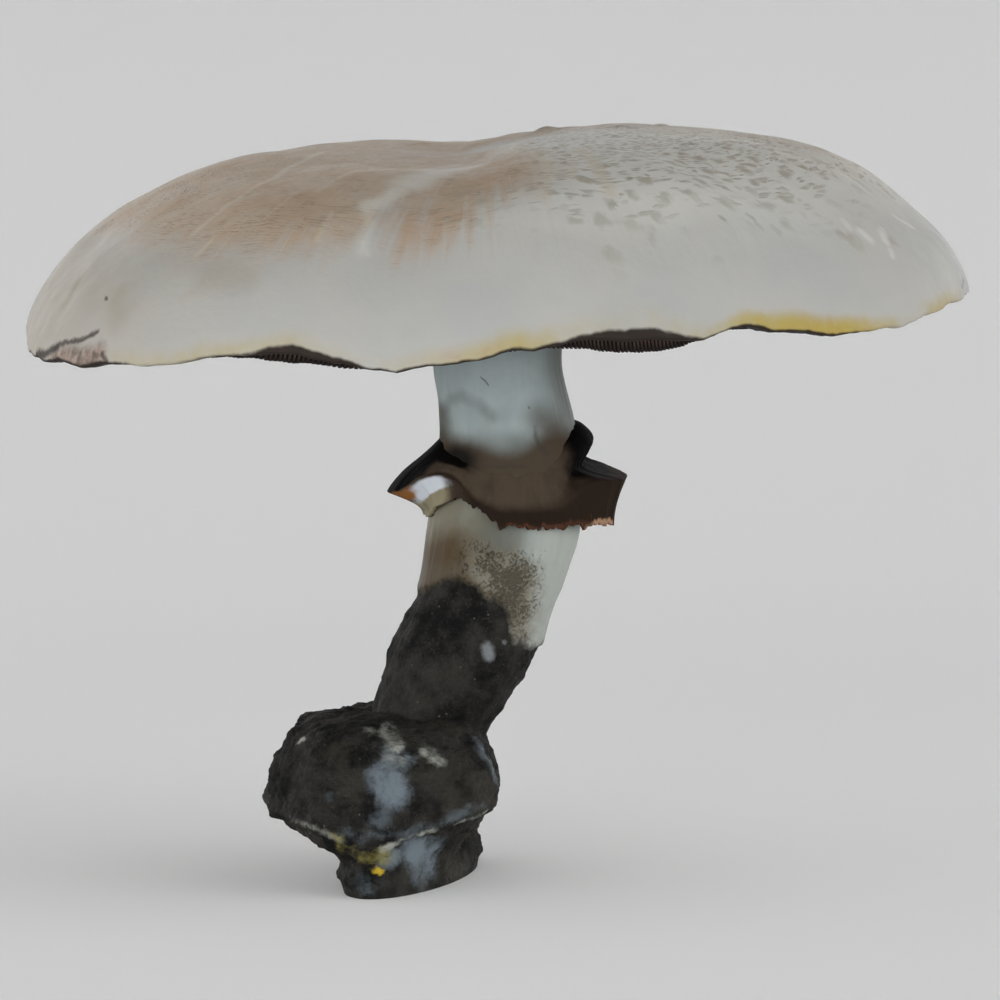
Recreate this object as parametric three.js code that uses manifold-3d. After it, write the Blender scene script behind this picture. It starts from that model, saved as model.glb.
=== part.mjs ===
// A prince mushroom as picked: a broad cap with gills beneath, on a leaning stem with a torn ring,
// standing on the clod of dark soil that came up with its base.
// Millimetres, +Z up. The origin is the middle of the flat patch that the clod stands on, and +X runs
// along the cap's widest line.

import * as THREE from "three";
import { mergeVertices } from "three/addons/utils/BufferGeometryUtils.js";
import Module from "manifold-3d";

const wasm = await Module();
wasm.setup();

// Driving dimensions.
const CAP_RADIUS = 101; // half the cap's widest line
const CROWN = 0.385 * CAP_RADIUS; // from the cap's widest level up to its crown
const CAP_DEPTH = 0.95; // the cap's depth, as a share of its width
const CAP_CENTRE = new THREE.Vector3(19, 17, 119.6); // middle of the cap at its widest level
const CAP_TILT = THREE.MathUtils.degToRad(2.4); // the cap's -X side hangs lower
const RING_TOP = 94; // height at which the ring leaves the stem
const RING_THICKNESS = 1.6;
const CLEARANCE = 0.3; // left between pieces that touch

const GILL_COUNT = 36; // each stands for a bundle of real ones
const CAP_SEGMENTS = 2 * GILL_COUNT;
const STEM_SEGMENTS = 30;
const STEM_LEVELS = 26;
const RING_SEGMENTS = 52;
const CLOD_SEGMENTS = 42;
const SQUARENESS = 2.4; // of the clod's level outline, where 2 is an ellipse

const SKIN_COLOUR = 0xb9b4aa;
const FLESH_COLOUR = 0xa9ada8;
const GILL_COLOUR = 0x3d322b;
const VEIL_COLOUR = 0x42372d;
const SOIL_COLOUR = 0x2b2826;

/** Eases from 0 to 1 as x goes from a to b. */
function ease(a, b, x) {
  return THREE.MathUtils.smoothstep(x, a, b);
}

/** A bell of height 1 at zero that has fallen to 1/e at this width. */
function bell(x, width) {
  return Math.exp(-((x / width) ** 2));
}

/** The angle from b to a, wrapped to within half a turn. */
function turn(a, b) {
  return Math.atan2(Math.sin(a - b), Math.cos(a - b));
}

/** An angle from +X towards +Y, given in degrees. */
function azimuth(degrees) {
  return THREE.MathUtils.degToRad(degrees);
}

/** The Catmull-Rom blend of four values, from b at t = 0 to c at t = 1. */
function blend(t, a, b, c, d) {
  const start = (c - a) / 2;
  const end = (d - b) / 2;
  return (2 * b - 2 * c + start + end) * t ** 3 + (3 * c - 3 * b - 2 * start - end) * t ** 2 + start * t + b;
}

/** A row of a table at a height, read between its rows as smooth curves. Each row starts with its height. */
function rowAt(table, height) {
  const last = table.length - 1;
  const above = table.findIndex(([z]) => z >= height);
  const i = THREE.MathUtils.clamp(above < 0 ? last : above, 1, last);
  const t = THREE.MathUtils.clamp((height - table[i - 1][0]) / (table[i][0] - table[i - 1][0]), 0, 1);
  const [before, after] = [table[Math.max(i - 2, 0)], table[Math.min(i + 1, last)]];
  return table[i].map((value, k) => blend(t, before[k], table[i - 1][k], value, after[k]));
}

/** Keeps only a geometry's positions and merges those that coincide. */
function sealed(geometry) {
  geometry.deleteAttribute("normal");
  geometry.deleteAttribute("uv");
  return mergeVertices(geometry, 1e-3);
}

/** Revolves a profile of (radius, height) points about Z, given anticlockwise, from pole to pole or round. */
function revolve(profile, segments) {
  const points = profile.map((p) => new THREE.Vector2(Math.max(p.x, 0), p.y));
  return sealed(new THREE.LatheGeometry(points, segments).rotateX(Math.PI / 2));
}

/** Moves every vertex by shape(point), which changes the point it is given. */
function reshape(geometry, shape) {
  const position = geometry.attributes.position;
  const point = new THREE.Vector3();
  for (let i = 0; i < position.count; i++) {
    point.fromBufferAttribute(position, i);
    shape(point);
    position.setXYZ(i, point.x, point.y, point.z);
  }
  return geometry;
}

/** A closed geometry as a manifold-3d solid. */
function solidOf(geometry) {
  return new wasm.Manifold(
    new wasm.Mesh({
      numProp: 3,
      vertProperties: geometry.attributes.position.array,
      triVerts: new Uint32Array(geometry.index.array),
    }),
  );
}

/** One geometry with another cut away. */
function cut(geometry, tool) {
  const mesh = solidOf(geometry).subtract(solidOf(tool)).getMesh();
  const result = new THREE.BufferGeometry();
  result.setAttribute("position", new THREE.BufferAttribute(mesh.vertProperties, 3));
  result.setIndex(new THREE.BufferAttribute(mesh.triVerts, 1));
  return result;
}

/** A named sub-part with its finish. */
function piece(name, geometry, color, roughness) {
  const material = new THREE.MeshStandardMaterial({ color, roughness, metalness: 0 });
  const mesh = new THREE.Mesh(geometry, material);
  mesh.name = name;
  mesh.geometry.computeVertexNormals();
  return mesh;
}

// The cap and its gills are first made round and level about Z. Their profiles are given as shares of
// CAP_RADIUS and CROWN. One field then makes both uneven and tilts them, so that they stay nested.

/** A smooth profile of the cap through (share of the radius, share of the crown) pairs, in millimetres. */
function capProfile(pairs, steps) {
  const knots = pairs.map(([share, rise]) => new THREE.Vector2(share * CAP_RADIUS, rise * CROWN));
  return new THREE.SplineCurve(knots).getSpacedPoints(steps);
}

/** A profile moved to its right-hand side by a distance. */
function besides(profile, distance) {
  return profile.map((point, i) => {
    const along = profile[Math.min(i + 1, profile.length - 1)].clone().sub(profile[Math.max(i - 1, 0)]);
    return point.clone().add(new THREE.Vector2(along.y, -along.x).setLength(distance));
  });
}

/** From the crown's middle out to the lip of the margin. */
const CAP_SKIN = [
  [0, 0.985],
  [0.22, 0.985],
  [0.44, 0.94],
  [0.62, 0.85],
  [0.76, 0.71],
  [0.87, 0.505],
  [0.94, 0.31],
  [0.985, 0.12],
  [1, 0],
  [0.995, -0.035],
  [0.98, -0.045],
];

/** From just inside the lip in to the flesh over the stem. */
const CAP_UNDERSIDE = capProfile([
  [0.967, -0.03],
  [0.95, 0.06],
  [0.9, 0.19],
  [0.8, 0.33],
  [0.68, 0.43],
  [0.55, 0.49],
  [0.38, 0.53],
  [0.24, 0.54],
  [0, 0.54],
], 9);

/** The gills' free edges, from the margin in to the stem. */
const GILL_EDGES = [
  [0.938, -0.03],
  [0.91, -0.045],
  [0.8, 0.03],
  [0.6, 0.15],
  [0.4, 0.27],
  [0.27, 0.36],
  [0.235, 0.46],
];

/** How far the cap's outline stands from a circle at an angle, as a share of its radius. */
function outline(angle) {
  const egg = 0.065 * (Math.cos(3 * angle) - Math.cos(angle));
  const broad = 0.012 * Math.sin(2 * angle + 0.6);
  const fine = 0.008 * Math.sin(5 * angle + 1.1) + 0.004 * Math.sin(9 * angle);
  return egg + broad + fine;
}

const MARGIN_WAVES = [
  { at: azimuth(-154), width: 0.28, rise: -1.6 },
  { at: azimuth(-119), width: 0.16, rise: 1.9 },
  { at: azimuth(-101), width: 0.15, rise: -1.6 },
  { at: azimuth(-81), width: 0.14, rise: 1.7 },
  { at: azimuth(-55), width: 0.14, rise: 1.8 },
  { at: azimuth(-32), width: 0.3, rise: -1.8 },
  { at: azimuth(22), width: 0.3, rise: 1.3 },
  { at: azimuth(58), width: 0.24, rise: -2.2 },
  { at: azimuth(96), width: 0.25, rise: 1.8 },
  { at: azimuth(138), width: 0.3, rise: -1.4 },
];

const CROWN_FOLDS = [
  { at: azimuth(-98), slant: azimuth(-14), width: 0.2, depth: 1.7, middle: 0.52, reach: 0.36 },
  { at: azimuth(-152), slant: azimuth(6), width: 0.2, depth: 1, middle: 0.62, reach: 0.3 },
  { at: azimuth(-38), slant: azimuth(4), width: 0.2, depth: 0.8, middle: 0.66, reach: 0.26 },
  { at: azimuth(64), slant: azimuth(10), width: 0.3, depth: 1.9, middle: 0.55, reach: 0.34 },
  { at: azimuth(150), slant: azimuth(-8), width: 0.24, depth: 1.2, middle: 0.6, reach: 0.3 },
  { at: azimuth(-176), slant: 0, width: 1.3, depth: 2.2, middle: 0.3, reach: 0.34 },
];

/** How far the margin stands above the widest level at an angle, in waves. */
function marginRise(angle) {
  return MARGIN_WAVES.reduce((sum, { at, width, rise }) => sum + rise * bell(turn(angle, at), width), 0);
}

/** How far the crown sinks: a dimple in its middle and folds that run outwards from it. */
function crownSink(share, angle) {
  const fold = ({ at, slant, width, depth, middle, reach }) =>
    depth * bell(turn(angle, at + slant * (share - middle)), width) * bell(share - middle, reach);
  return CROWN_FOLDS.reduce((sum, f) => sum + fold(f) * ease(0, 0.25, share), 1.2 * bell(share, 0.24));
}

/** Takes a point of the round, level cap to its place on the real, uneven one. */
function settleCap(point) {
  const angle = Math.atan2(point.y, point.x);
  const share = Math.hypot(point.x, point.y) / CAP_RADIUS;
  const spread = 1 + outline(angle) * ease(0, 0.9, share);
  const sink = crownSink(share, angle) * ease(0.2, 0.8, point.z / CROWN);
  point.x *= spread;
  point.y *= spread * CAP_DEPTH;
  point.z += marginRise(angle) * ease(0.4, 1, share) - sink;
  point.applyAxisAngle(new THREE.Vector3(0, 1, 0), -CAP_TILT).add(CAP_CENTRE);
}

/** Flesh and skin in one: a domed crown, a thin lip and a shallow hollow beneath for the gills. */
function capGeometry() {
  const profile = [...capProfile(CAP_SKIN, 14), ...CAP_UNDERSIDE];
  return reshape(revolve(profile.reverse(), CAP_SEGMENTS), settleCap);
}

/** The gills: blades that fan out from round the stem to the margin, joined along their roots. */
function gillGeometry() {
  const roots = besides(CAP_UNDERSIDE.slice(0, -2).reverse(), CLEARANCE);
  const profile = [...roots, ...capProfile(GILL_EDGES, 7), roots[0]];
  return reshape(revolve(profile.reverse(), CAP_SEGMENTS), (point) => {
    const step = Math.round((Math.atan2(point.y, point.x) * GILL_COUNT) / Math.PI);
    const share = Math.hypot(point.x, point.y) / CAP_RADIUS;
    const valley = CROWN * THREE.MathUtils.lerp(0.46, -0.1, ease(0.55, 1.05, share));
    if (step % 2 !== 0) point.z = Math.max(point.z, valley);
    settleCap(point);
  });
}

// The stem as stations up its length: height, centre x, centre y and half-width.
const STEM = [
  [16, 0, 6, 9.5],
  [27, 2.2, 6.6, 12.6],
  [37, 6.4, 7.4, 14.5],
  [44, 9.9, 8, 15.6],
  [49, 11.5, 8.6, 16.3],
  [55, 13.8, 9.3, 15.5],
  [61, 16.6, 10, 15.2],
  [71, 19.2, 11, 16.4],
  [80, 20.2, 12, 16],
  [92, 20.9, 13.4, 15],
  [100, 20.1, 14.4, 14.3],
  [108, 18.6, 15.2, 13.9],
  [125, 18.6, 16.4, 14],
  [144, 19, 17, 15.4],
];

/** The stem, or with grow a tool that makes room for it in a neighbour. */
function stemGeometry(grow = 0) {
  const foot = STEM[0][0] - grow;
  const height = STEM[STEM.length - 1][0] + grow - foot;
  const wall = Array.from({ length: STEM_LEVELS + 1 }, (_, i) => {
    return new THREE.Vector2(1, foot + (height * i) / STEM_LEVELS);
  });
  const profile = [new THREE.Vector2(0, foot), ...wall, new THREE.Vector2(0, foot + height)];
  return reshape(revolve(profile, STEM_SEGMENTS), (point) => {
    const angle = Math.atan2(point.y, point.x);
    const [z, x, y, radius] = rowAt(STEM, point.z);
    const uneven = 1 + 0.016 * Math.sin(2 * angle + z / 22) + 0.01 * Math.sin(3 * angle - z / 15);
    point.x = x + point.x * (radius * uneven + grow);
    point.y = y + point.y * (radius * uneven + grow);
  });
}

// The ring's lobes: where each is, how wide, how far it stands out, over which share of the way down it
// swings out, and how much longer than the rest it hangs.
const RING_LOBES = [
  { at: azimuth(-176), width: 0.5, flare: 8.4, from: 0, to: 1.1, longer: -3.4 },
  { at: azimuth(-6), width: 0.42, flare: 8, from: 0.36, to: 0.56, longer: 1.6 },
  { at: azimuth(-48), width: 0.8, flare: 0.8, from: 0, to: 1, longer: 4 },
  { at: azimuth(72), width: 0.5, flare: 3, from: 0.1, to: 1, longer: -2.5 },
  { at: azimuth(128), width: 0.36, flare: 5.5, from: 0.1, to: 0.9, longer: 2 },
];

/** The ring: what is left of the veil, a torn skirt that clings to the stem and stands out in lobes. */
function ringGeometry() {
  // It starts as a square section round Z: radius 1 is its inside, radius 2 its outside, and the height
  // is the share of the way down, below zero.
  const shares = [0, 0.1, 0.22, 0.38, 0.56, 0.78, 1];
  const inside = shares.map((share) => new THREE.Vector2(1, -share));
  const outside = shares.map((share) => new THREE.Vector2(2, -share)).reverse();
  return reshape(revolve([...inside, ...outside, inside[0]], RING_SEGMENTS), (point) => {
    const angle = Math.atan2(point.y, point.x);
    const isOutside = Math.hypot(point.x, point.y) > 1.5;
    const share = -point.z;
    let length = 15.5 + 0.7 * Math.sin(7 * angle) + 0.5 * Math.sin(12 * angle + 1);
    let out = RING_THICKNESS * (0.4 + 0.6 * ease(0, 0.3, share));
    for (const { at, width, flare, from, to, longer } of RING_LOBES) {
      const near = bell(turn(angle, at), width);
      length += longer * near;
      out += flare * near * ease(from, to, share);
    }
    out += 1.4 * bell(turn(angle, azimuth(-14)), 0.4) * bell(share - 0.1, 0.1);
    if (!isOutside) out -= RING_THICKNESS * (1 + 0.5 * ease(0.3, 0, share));
    const height = RING_TOP - share * length;
    const [, x, y, radius] = rowAt(STEM, height);
    point.set(x + (radius + out) * Math.cos(angle), y + (radius + out) * Math.sin(angle), height);
  });
}

// The clod as level slices: height, centre x and y, half-widths along X and Y, and how much each slice
// leans towards +X for each millimetre towards +Y.
const CLOD = [
  [0, -0.2, 1.5, 13, 31, 0.26],
  [3.5, -0.6, 1.5, 13.6, 32, 0.26],
  [7.5, -1.2, 1.3, 14.8, 32.4, 0.22],
  [10, -4, 0.8, 18, 31.8, 0.14],
  [13.5, -6.4, 1.6, 22, 33.2, 0.06],
  [17, -7, 3, 24.2, 35.2, 0],
  [22, -6, 3.6, 24.8, 35, 0],
  [26.5, -5.6, 3.6, 23.4, 32.6, 0],
  [30, -5.2, 3.6, 21.4, 29, 0],
  [33, -3.4, 4, 19, 23, 0],
  [35, -1, 5, 15.4, 17, 0],
  [35.8, 1, 6, 11, 12, 0],
];

/** The clod: a lump of soil round the stem's base, over the narrower foot that it stands on. */
function clodGeometry() {
  const wall = CLOD.map(([z]) => new THREE.Vector2(1, z));
  const profile = [new THREE.Vector2(0, 0), ...wall, new THREE.Vector2(0, CLOD[CLOD.length - 1][0])];
  return reshape(revolve(profile, CLOD_SEGMENTS), (point) => {
    const angle = Math.atan2(point.y, point.x);
    const [z, x, y, wide, deep, lean] = rowAt(CLOD, point.z);
    const [along, across] = [Math.abs(Math.cos(angle)), Math.abs(Math.sin(angle))];
    const square = (along ** SQUARENESS + across ** SQUARENESS) ** (-1 / SQUARENESS);
    const broad = 0.03 * Math.sin(3 * angle + z / 6);
    const fine = 0.025 * Math.sin(5 * angle - z / 9) + 0.015 * Math.sin(8 * angle);
    const reach = square * (1 + (broad + fine) * ease(0, 6, z));
    point.x = x + point.x * reach * wide + point.y * reach * deep * lean;
    point.y = y + point.y * reach * deep;
  });
}

const stemRoom = stemGeometry(CLEARANCE);
const mushroom = new THREE.Group();
mushroom.add(
  piece("cap", cut(capGeometry(), stemRoom), SKIN_COLOUR, 0.6),
  piece("gills", gillGeometry(), GILL_COLOUR, 0.8),
  piece("stem", stemGeometry(), FLESH_COLOUR, 0.65),
  piece("ring", cut(ringGeometry(), stemRoom), VEIL_COLOUR, 0.7),
  piece("soil_clod", cut(clodGeometry(), stemRoom), SOIL_COLOUR, 0.85),
);

export default mushroom;
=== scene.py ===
"""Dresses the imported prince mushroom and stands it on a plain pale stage.

Sizes are in millimetres and angles in degrees round the cap, stem or clod, from +X towards +Y. A form is
spun level about Z, then settled into its uneven place, and becomes metres when it is made a piece.
"""

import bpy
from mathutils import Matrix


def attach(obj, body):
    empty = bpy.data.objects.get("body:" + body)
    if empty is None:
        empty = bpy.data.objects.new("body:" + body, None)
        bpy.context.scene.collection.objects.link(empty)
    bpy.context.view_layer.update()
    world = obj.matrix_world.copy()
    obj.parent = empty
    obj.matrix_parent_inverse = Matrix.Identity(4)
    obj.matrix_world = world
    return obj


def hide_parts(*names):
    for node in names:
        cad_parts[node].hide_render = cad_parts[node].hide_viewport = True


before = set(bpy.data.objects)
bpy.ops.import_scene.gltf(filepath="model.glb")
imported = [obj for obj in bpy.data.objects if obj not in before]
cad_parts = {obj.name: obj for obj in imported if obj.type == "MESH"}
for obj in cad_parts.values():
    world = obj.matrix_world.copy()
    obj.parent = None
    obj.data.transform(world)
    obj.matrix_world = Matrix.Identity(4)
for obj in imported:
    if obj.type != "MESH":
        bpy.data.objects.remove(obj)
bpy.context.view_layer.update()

import functools
import itertools
import logging
import math
from collections.abc import Sequence
from dataclasses import dataclass, replace
from enum import Enum

import bmesh
import bpy
import numpy as np
from mathutils import Matrix, Vector

Array = np.ndarray
Socket = bpy.types.NodeSocket
Tone = tuple[float, float, float, float]
Feed = float | Sequence[float] | bpy.types.NodeSocket | None
Path = tuple[tuple[float, ...], ...]

MM = 0.001
SECTOR_DOUBLINGS = 4
SECTORS = 2**SECTOR_DOUBLINGS
ORIGIN = (0.0, 0.0, 0.0)
MERGE_DISTANCE = 1e-4
LATTICE_SIZE = 256
LATTICE_SEED = 11
NOISE_GAIN = 1.6
SEED_STEP = 17.3
STEPS_PER_KNOT = 60
LOG = logging.getLogger("mushroom")


class Slot(Enum):
    """The record's material slots."""

    SKIN = "skin"
    GILLS = "gills"
    FLESH = "flesh"
    VEIL = "veil"
    SOIL = "soil"


def tone(red: int, green: int, blue: int) -> Tone:
    """A colour given in display values from 0 to 255, as a linear one."""
    display = [value / 255 for value in (red, green, blue)]
    return (*(v / 12.92 if v <= 0.04045 else ((v + 0.055) / 1.055) ** 2.4 for v in display), 1.0)


# ---------------------------------------------------------------- curves and fields


def ease(low: float | Array, high: float | Array, value: Array) -> Array:
    """Eases from 0 to 1 as the value goes from low to high."""
    share = np.clip((value - low) / (high - low), 0, 1)
    return share * share * (3 - 2 * share)


def bell(value: Array, width: float | Array) -> Array:
    """A bell of height 1 at zero that has fallen to 1/e at this width."""
    return np.exp(-((value / width) ** 2))


def turn(degrees: Array, at: float | Array) -> Array:
    """The angle from one azimuth to others, in degrees, wrapped to within half a turn."""
    return np.mod(degrees - at + 180, 360) - 180


def near(degrees: Array, at: float | Array, width: float | Array) -> Array:
    """A bell round one azimuth, of this width in degrees."""
    return bell(turn(degrees, at), width)


def round_about(degrees: Array, reach: float | Array, height: Array) -> Array:
    """Places at these azimuths, this far out and this high."""
    angle = np.radians(degrees)
    return np.column_stack([reach * np.cos(angle), reach * np.sin(angle), height])


def curve_through(before: Array, start: Array, end: Array, after: Array, share: Array) -> Array:
    """The Catmull-Rom blend from start to end.

    Args:
        before: The knots before the starts.
        start: The knots that the stretches start at.
        end: The knots that they end at.
        after: The knots after the ends.
        share: How far along its stretch each place is, from 0 to 1.

    Returns:
        The values at the places.
    """
    leave, arrive = (end - before) / 2, (after - start) / 2
    cubic = 2 * start - 2 * end + leave + arrive
    square = 3 * end - 3 * start - 2 * leave - arrive
    return ((cubic * share + square) * share + leave) * share + start


def read_table(table: Sequence[Sequence[float]], at: Array, closed: bool = False) -> Array:
    """Reads a table between its rows as smooth curves.

    Args:
        table: Rows that start with the place they stand for, in rising order.
        at: The places to read it at.
        closed: Whether the places are azimuths, so that the last row leads back to the first.

    Returns:
        One row of values for each place, without the place itself.
    """
    rows = np.array(table, dtype=float)
    if closed:
        wrap = np.zeros(rows.shape[1])
        wrap[0] = 360
        rows = np.vstack([rows[-1] - wrap, rows, rows[0] + wrap, rows[1] + wrap])
        at = np.mod(at - rows[1, 0], 360) + rows[1, 0]
    upper = np.clip(np.searchsorted(rows[:, 0], at), 1, len(rows) - 1)
    lower = upper - 1
    share = np.clip((at - rows[lower, 0]) / (rows[upper, 0] - rows[lower, 0]), 0, 1)[:, None]
    before, after = np.maximum(lower - 1, 0), np.minimum(upper + 1, len(rows) - 1)
    return curve_through(rows[before], rows[lower], rows[upper], rows[after], share)[:, 1:]


def threaded(knots: Sequence[Sequence[float]], count: int) -> Array:
    """A smooth line through knots, as count + 1 evenly spaced points.

    Args:
        knots: The points that it passes.
        count: How many steps it has.

    Returns:
        The points, a row each.
    """
    places = np.linspace(0, len(knots) - 1, STEPS_PER_KNOT * len(knots))
    rows = [(place, *knot) for place, knot in enumerate(knots)]
    fine = read_table(rows, places)
    run = np.concatenate([[0], np.cumsum(np.linalg.norm(np.diff(fine, axis=0), axis=1))])
    even = np.linspace(0, run[-1], count + 1)
    return np.column_stack([np.interp(even, run, fine[:, axis]) for axis in range(fine.shape[1])])


@functools.cache
def lattice() -> tuple[Array, Array]:
    """A shuffled table of numbers and a direction for each of them.

    Returns:
        The table and the directions, the same on every run.
    """
    dice = np.random.default_rng(LATTICE_SEED)
    directions = dice.normal(size=(LATTICE_SIZE, 3))
    return dice.permutation(LATTICE_SIZE), directions / np.linalg.norm(directions, axis=1)[:, None]


def lattice_noise(spots: Array) -> Array:
    """Smooth noise from about -1 to 1, with features about 1 across.

    Args:
        spots: The places, a row each.

    Returns:
        A value for each place.
    """
    order, directions = lattice()
    cell = np.floor(spots).astype(int)
    inside = spots - cell
    fade = inside**3 * (inside * (inside * 6 - 15) + 10)
    total = np.zeros(len(spots))
    for corner in itertools.product((0, 1), repeat=3):
        turned = 0
        for along in (cell + corner).T:
            turned = order[(turned + along) % LATTICE_SIZE]
        pull = (directions[turned] * (inside - corner)).sum(axis=1)
        total += pull * np.where(corner, fade, 1 - fade).prod(axis=1)
    return NOISE_GAIN * total


def grain(points: Array, size: float, seed: float, octaves: int = 4) -> Array:
    """Fractal noise from about -1 to 1, whose largest features have this size."""
    spots = points / size + SEED_STEP * seed
    return sum(lattice_noise(spots * 2**octave) / 2**octave for octave in range(octaves))


def distance_to(points: Array, path: Path) -> Array:
    """How far each point is from a path of straight stretches.

    Args:
        points: The points, a row each.
        path: The places that the path passes.

    Returns:
        A distance for each point.
    """
    nearest = np.full(len(points), np.inf)
    for start, end in zip(np.array(path[:-1], dtype=float), np.array(path[1:], dtype=float)):
        stretch = end - start
        share = np.clip((points - start) @ stretch / (stretch @ stretch), 0, 1)
        gap = np.linalg.norm(points - start - share[:, None] * stretch, axis=1)
        nearest = np.minimum(nearest, gap)
    return nearest


def azimuths(points: Array) -> Array:
    """The azimuth of each point about Z, in degrees."""
    return np.degrees(np.arctan2(points[:, 1], points[:, 0]))


# ---------------------------------------------------------------- forms and pieces


def repeat_round(form: bmesh.types.BMesh, sector: float, doublings: int) -> None:
    """Repeats all that stands in a sector about Z, twice as much each time.

    Args:
        form: The bmesh that holds the sector.
        sector: Its angle, in radians.
        doublings: How often it is doubled.
    """
    for doubling in range(doublings):
        made = bmesh.ops.duplicate(form, geom=[*form.verts, *form.edges, *form.faces])
        copies = [item for item in made["geom"] if isinstance(item, bmesh.types.BMVert)]
        spread = Matrix.Rotation(sector * 2**doubling, 3, "Z")
        bmesh.ops.rotate(form, verts=copies, cent=ORIGIN, matrix=spread)


def spun(name: str, profile: Array, steps: int) -> tuple[bpy.types.Mesh, Array, Array]:
    """Spins a profile about Z into a skin.

    Args:
        name: The mesh's name.
        profile: (radius, height) points. A point on the axis closes its end.
        steps: How many faces go round, a multiple of the number of sectors.

    Returns:
        The mesh, its points, and the length of profile up to each point.
    """
    run = np.concatenate([[0], np.cumsum(np.linalg.norm(np.diff(profile, axis=0), axis=1))])
    form = bmesh.new()
    length = form.verts.layers.float.new("run")
    line = [form.verts.new((radius, 0, height)) for radius, height in profile]
    for vertex, value in zip(line, run):
        vertex[length] = value
    edges = [form.edges.new(pair) for pair in zip(line, line[1:])]
    sector = math.tau / SECTORS
    bmesh.ops.spin(
        form,
        geom=line + edges,
        cent=ORIGIN,
        axis=(0, 0, 1),
        dvec=ORIGIN,
        angle=sector,
        steps=steps // SECTORS,
    )
    repeat_round(form, sector, SECTOR_DOUBLINGS)
    bmesh.ops.remove_doubles(form, verts=form.verts, dist=MERGE_DISTANCE)
    bmesh.ops.recalc_face_normals(form, faces=form.faces)
    mesh = bpy.data.meshes.new(name)
    form.to_mesh(mesh)
    form.free()
    return mesh, points_of(mesh), values_of(mesh, "run")


def points_of(mesh: bpy.types.Mesh) -> Array:
    """A mesh's vertices as an array.

    Args:
        mesh: The mesh.

    Returns:
        A row for each vertex.
    """
    flat = np.empty(len(mesh.vertices) * 3, dtype=np.float32)
    mesh.vertices.foreach_get("co", flat)
    return flat.reshape(-1, 3).astype(float)


def values_of(mesh: bpy.types.Mesh, layer: str) -> Array:
    """A mesh's values in a float layer.

    Args:
        mesh: The mesh.
        layer: The layer's name.

    Returns:
        A value for each vertex.
    """
    flat = np.empty(len(mesh.vertices), dtype=np.float32)
    mesh.attributes[layer].data.foreach_get("value", flat)
    return flat.astype(float)


def move_points(mesh: bpy.types.Mesh, points: Array) -> None:
    """Moves a mesh's vertices."""
    mesh.vertices.foreach_set("co", points.astype(np.float32).ravel())
    mesh.update()


def swell(mesh: bpy.types.Mesh, relief: Array) -> None:
    """Moves each vertex outwards by its relief.

    Args:
        mesh: The mesh.
        relief: How far each vertex moves along its normal.
    """
    normals = np.empty(len(mesh.vertices) * 3, dtype=np.float32)
    mesh.vertex_normals.foreach_get("vector", normals)
    move_points(mesh, points_of(mesh) + relief[:, None] * normals.reshape(-1, 3))


def add_layer(mesh: bpy.types.Mesh, name: str, values: Array) -> None:
    """Stores a value or a vector for each vertex, for its material to read.

    Args:
        mesh: The mesh.
        name: The layer's name.
        values: A number or three for each vertex.
    """
    is_vector = values.ndim == 2
    layer = mesh.attributes.new(name, "FLOAT_VECTOR" if is_vector else "FLOAT", "POINT")
    layer.data.foreach_set("vector" if is_vector else "value", values.astype(np.float32).ravel())


def make_piece(
    mesh: bpy.types.Mesh, finishes: Sequence[bpy.types.Material], stands_for: str = ""
) -> bpy.types.Object:
    """Makes a mesh in millimetres a smooth piece of the mushroom.

    Args:
        mesh: The mesh, which gives the piece its name.
        finishes: The materials, in the order of the faces' indices.
        stands_for: The CAD node that it replaces.

    Returns:
        The piece.
    """
    mesh.transform(Matrix.Scale(MM, 4))
    mesh.shade_smooth()
    for finish in finishes:
        mesh.materials.append(finish)
    piece = bpy.data.objects.new(mesh.name, mesh)
    bpy.context.scene.collection.objects.link(piece)
    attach(piece, "root")
    if stands_for:
        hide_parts(stands_for)
    LOG.info("%s: %d faces", piece.name, len(mesh.polygons))
    return piece


# ---------------------------------------------------------------- shader nodes


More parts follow.
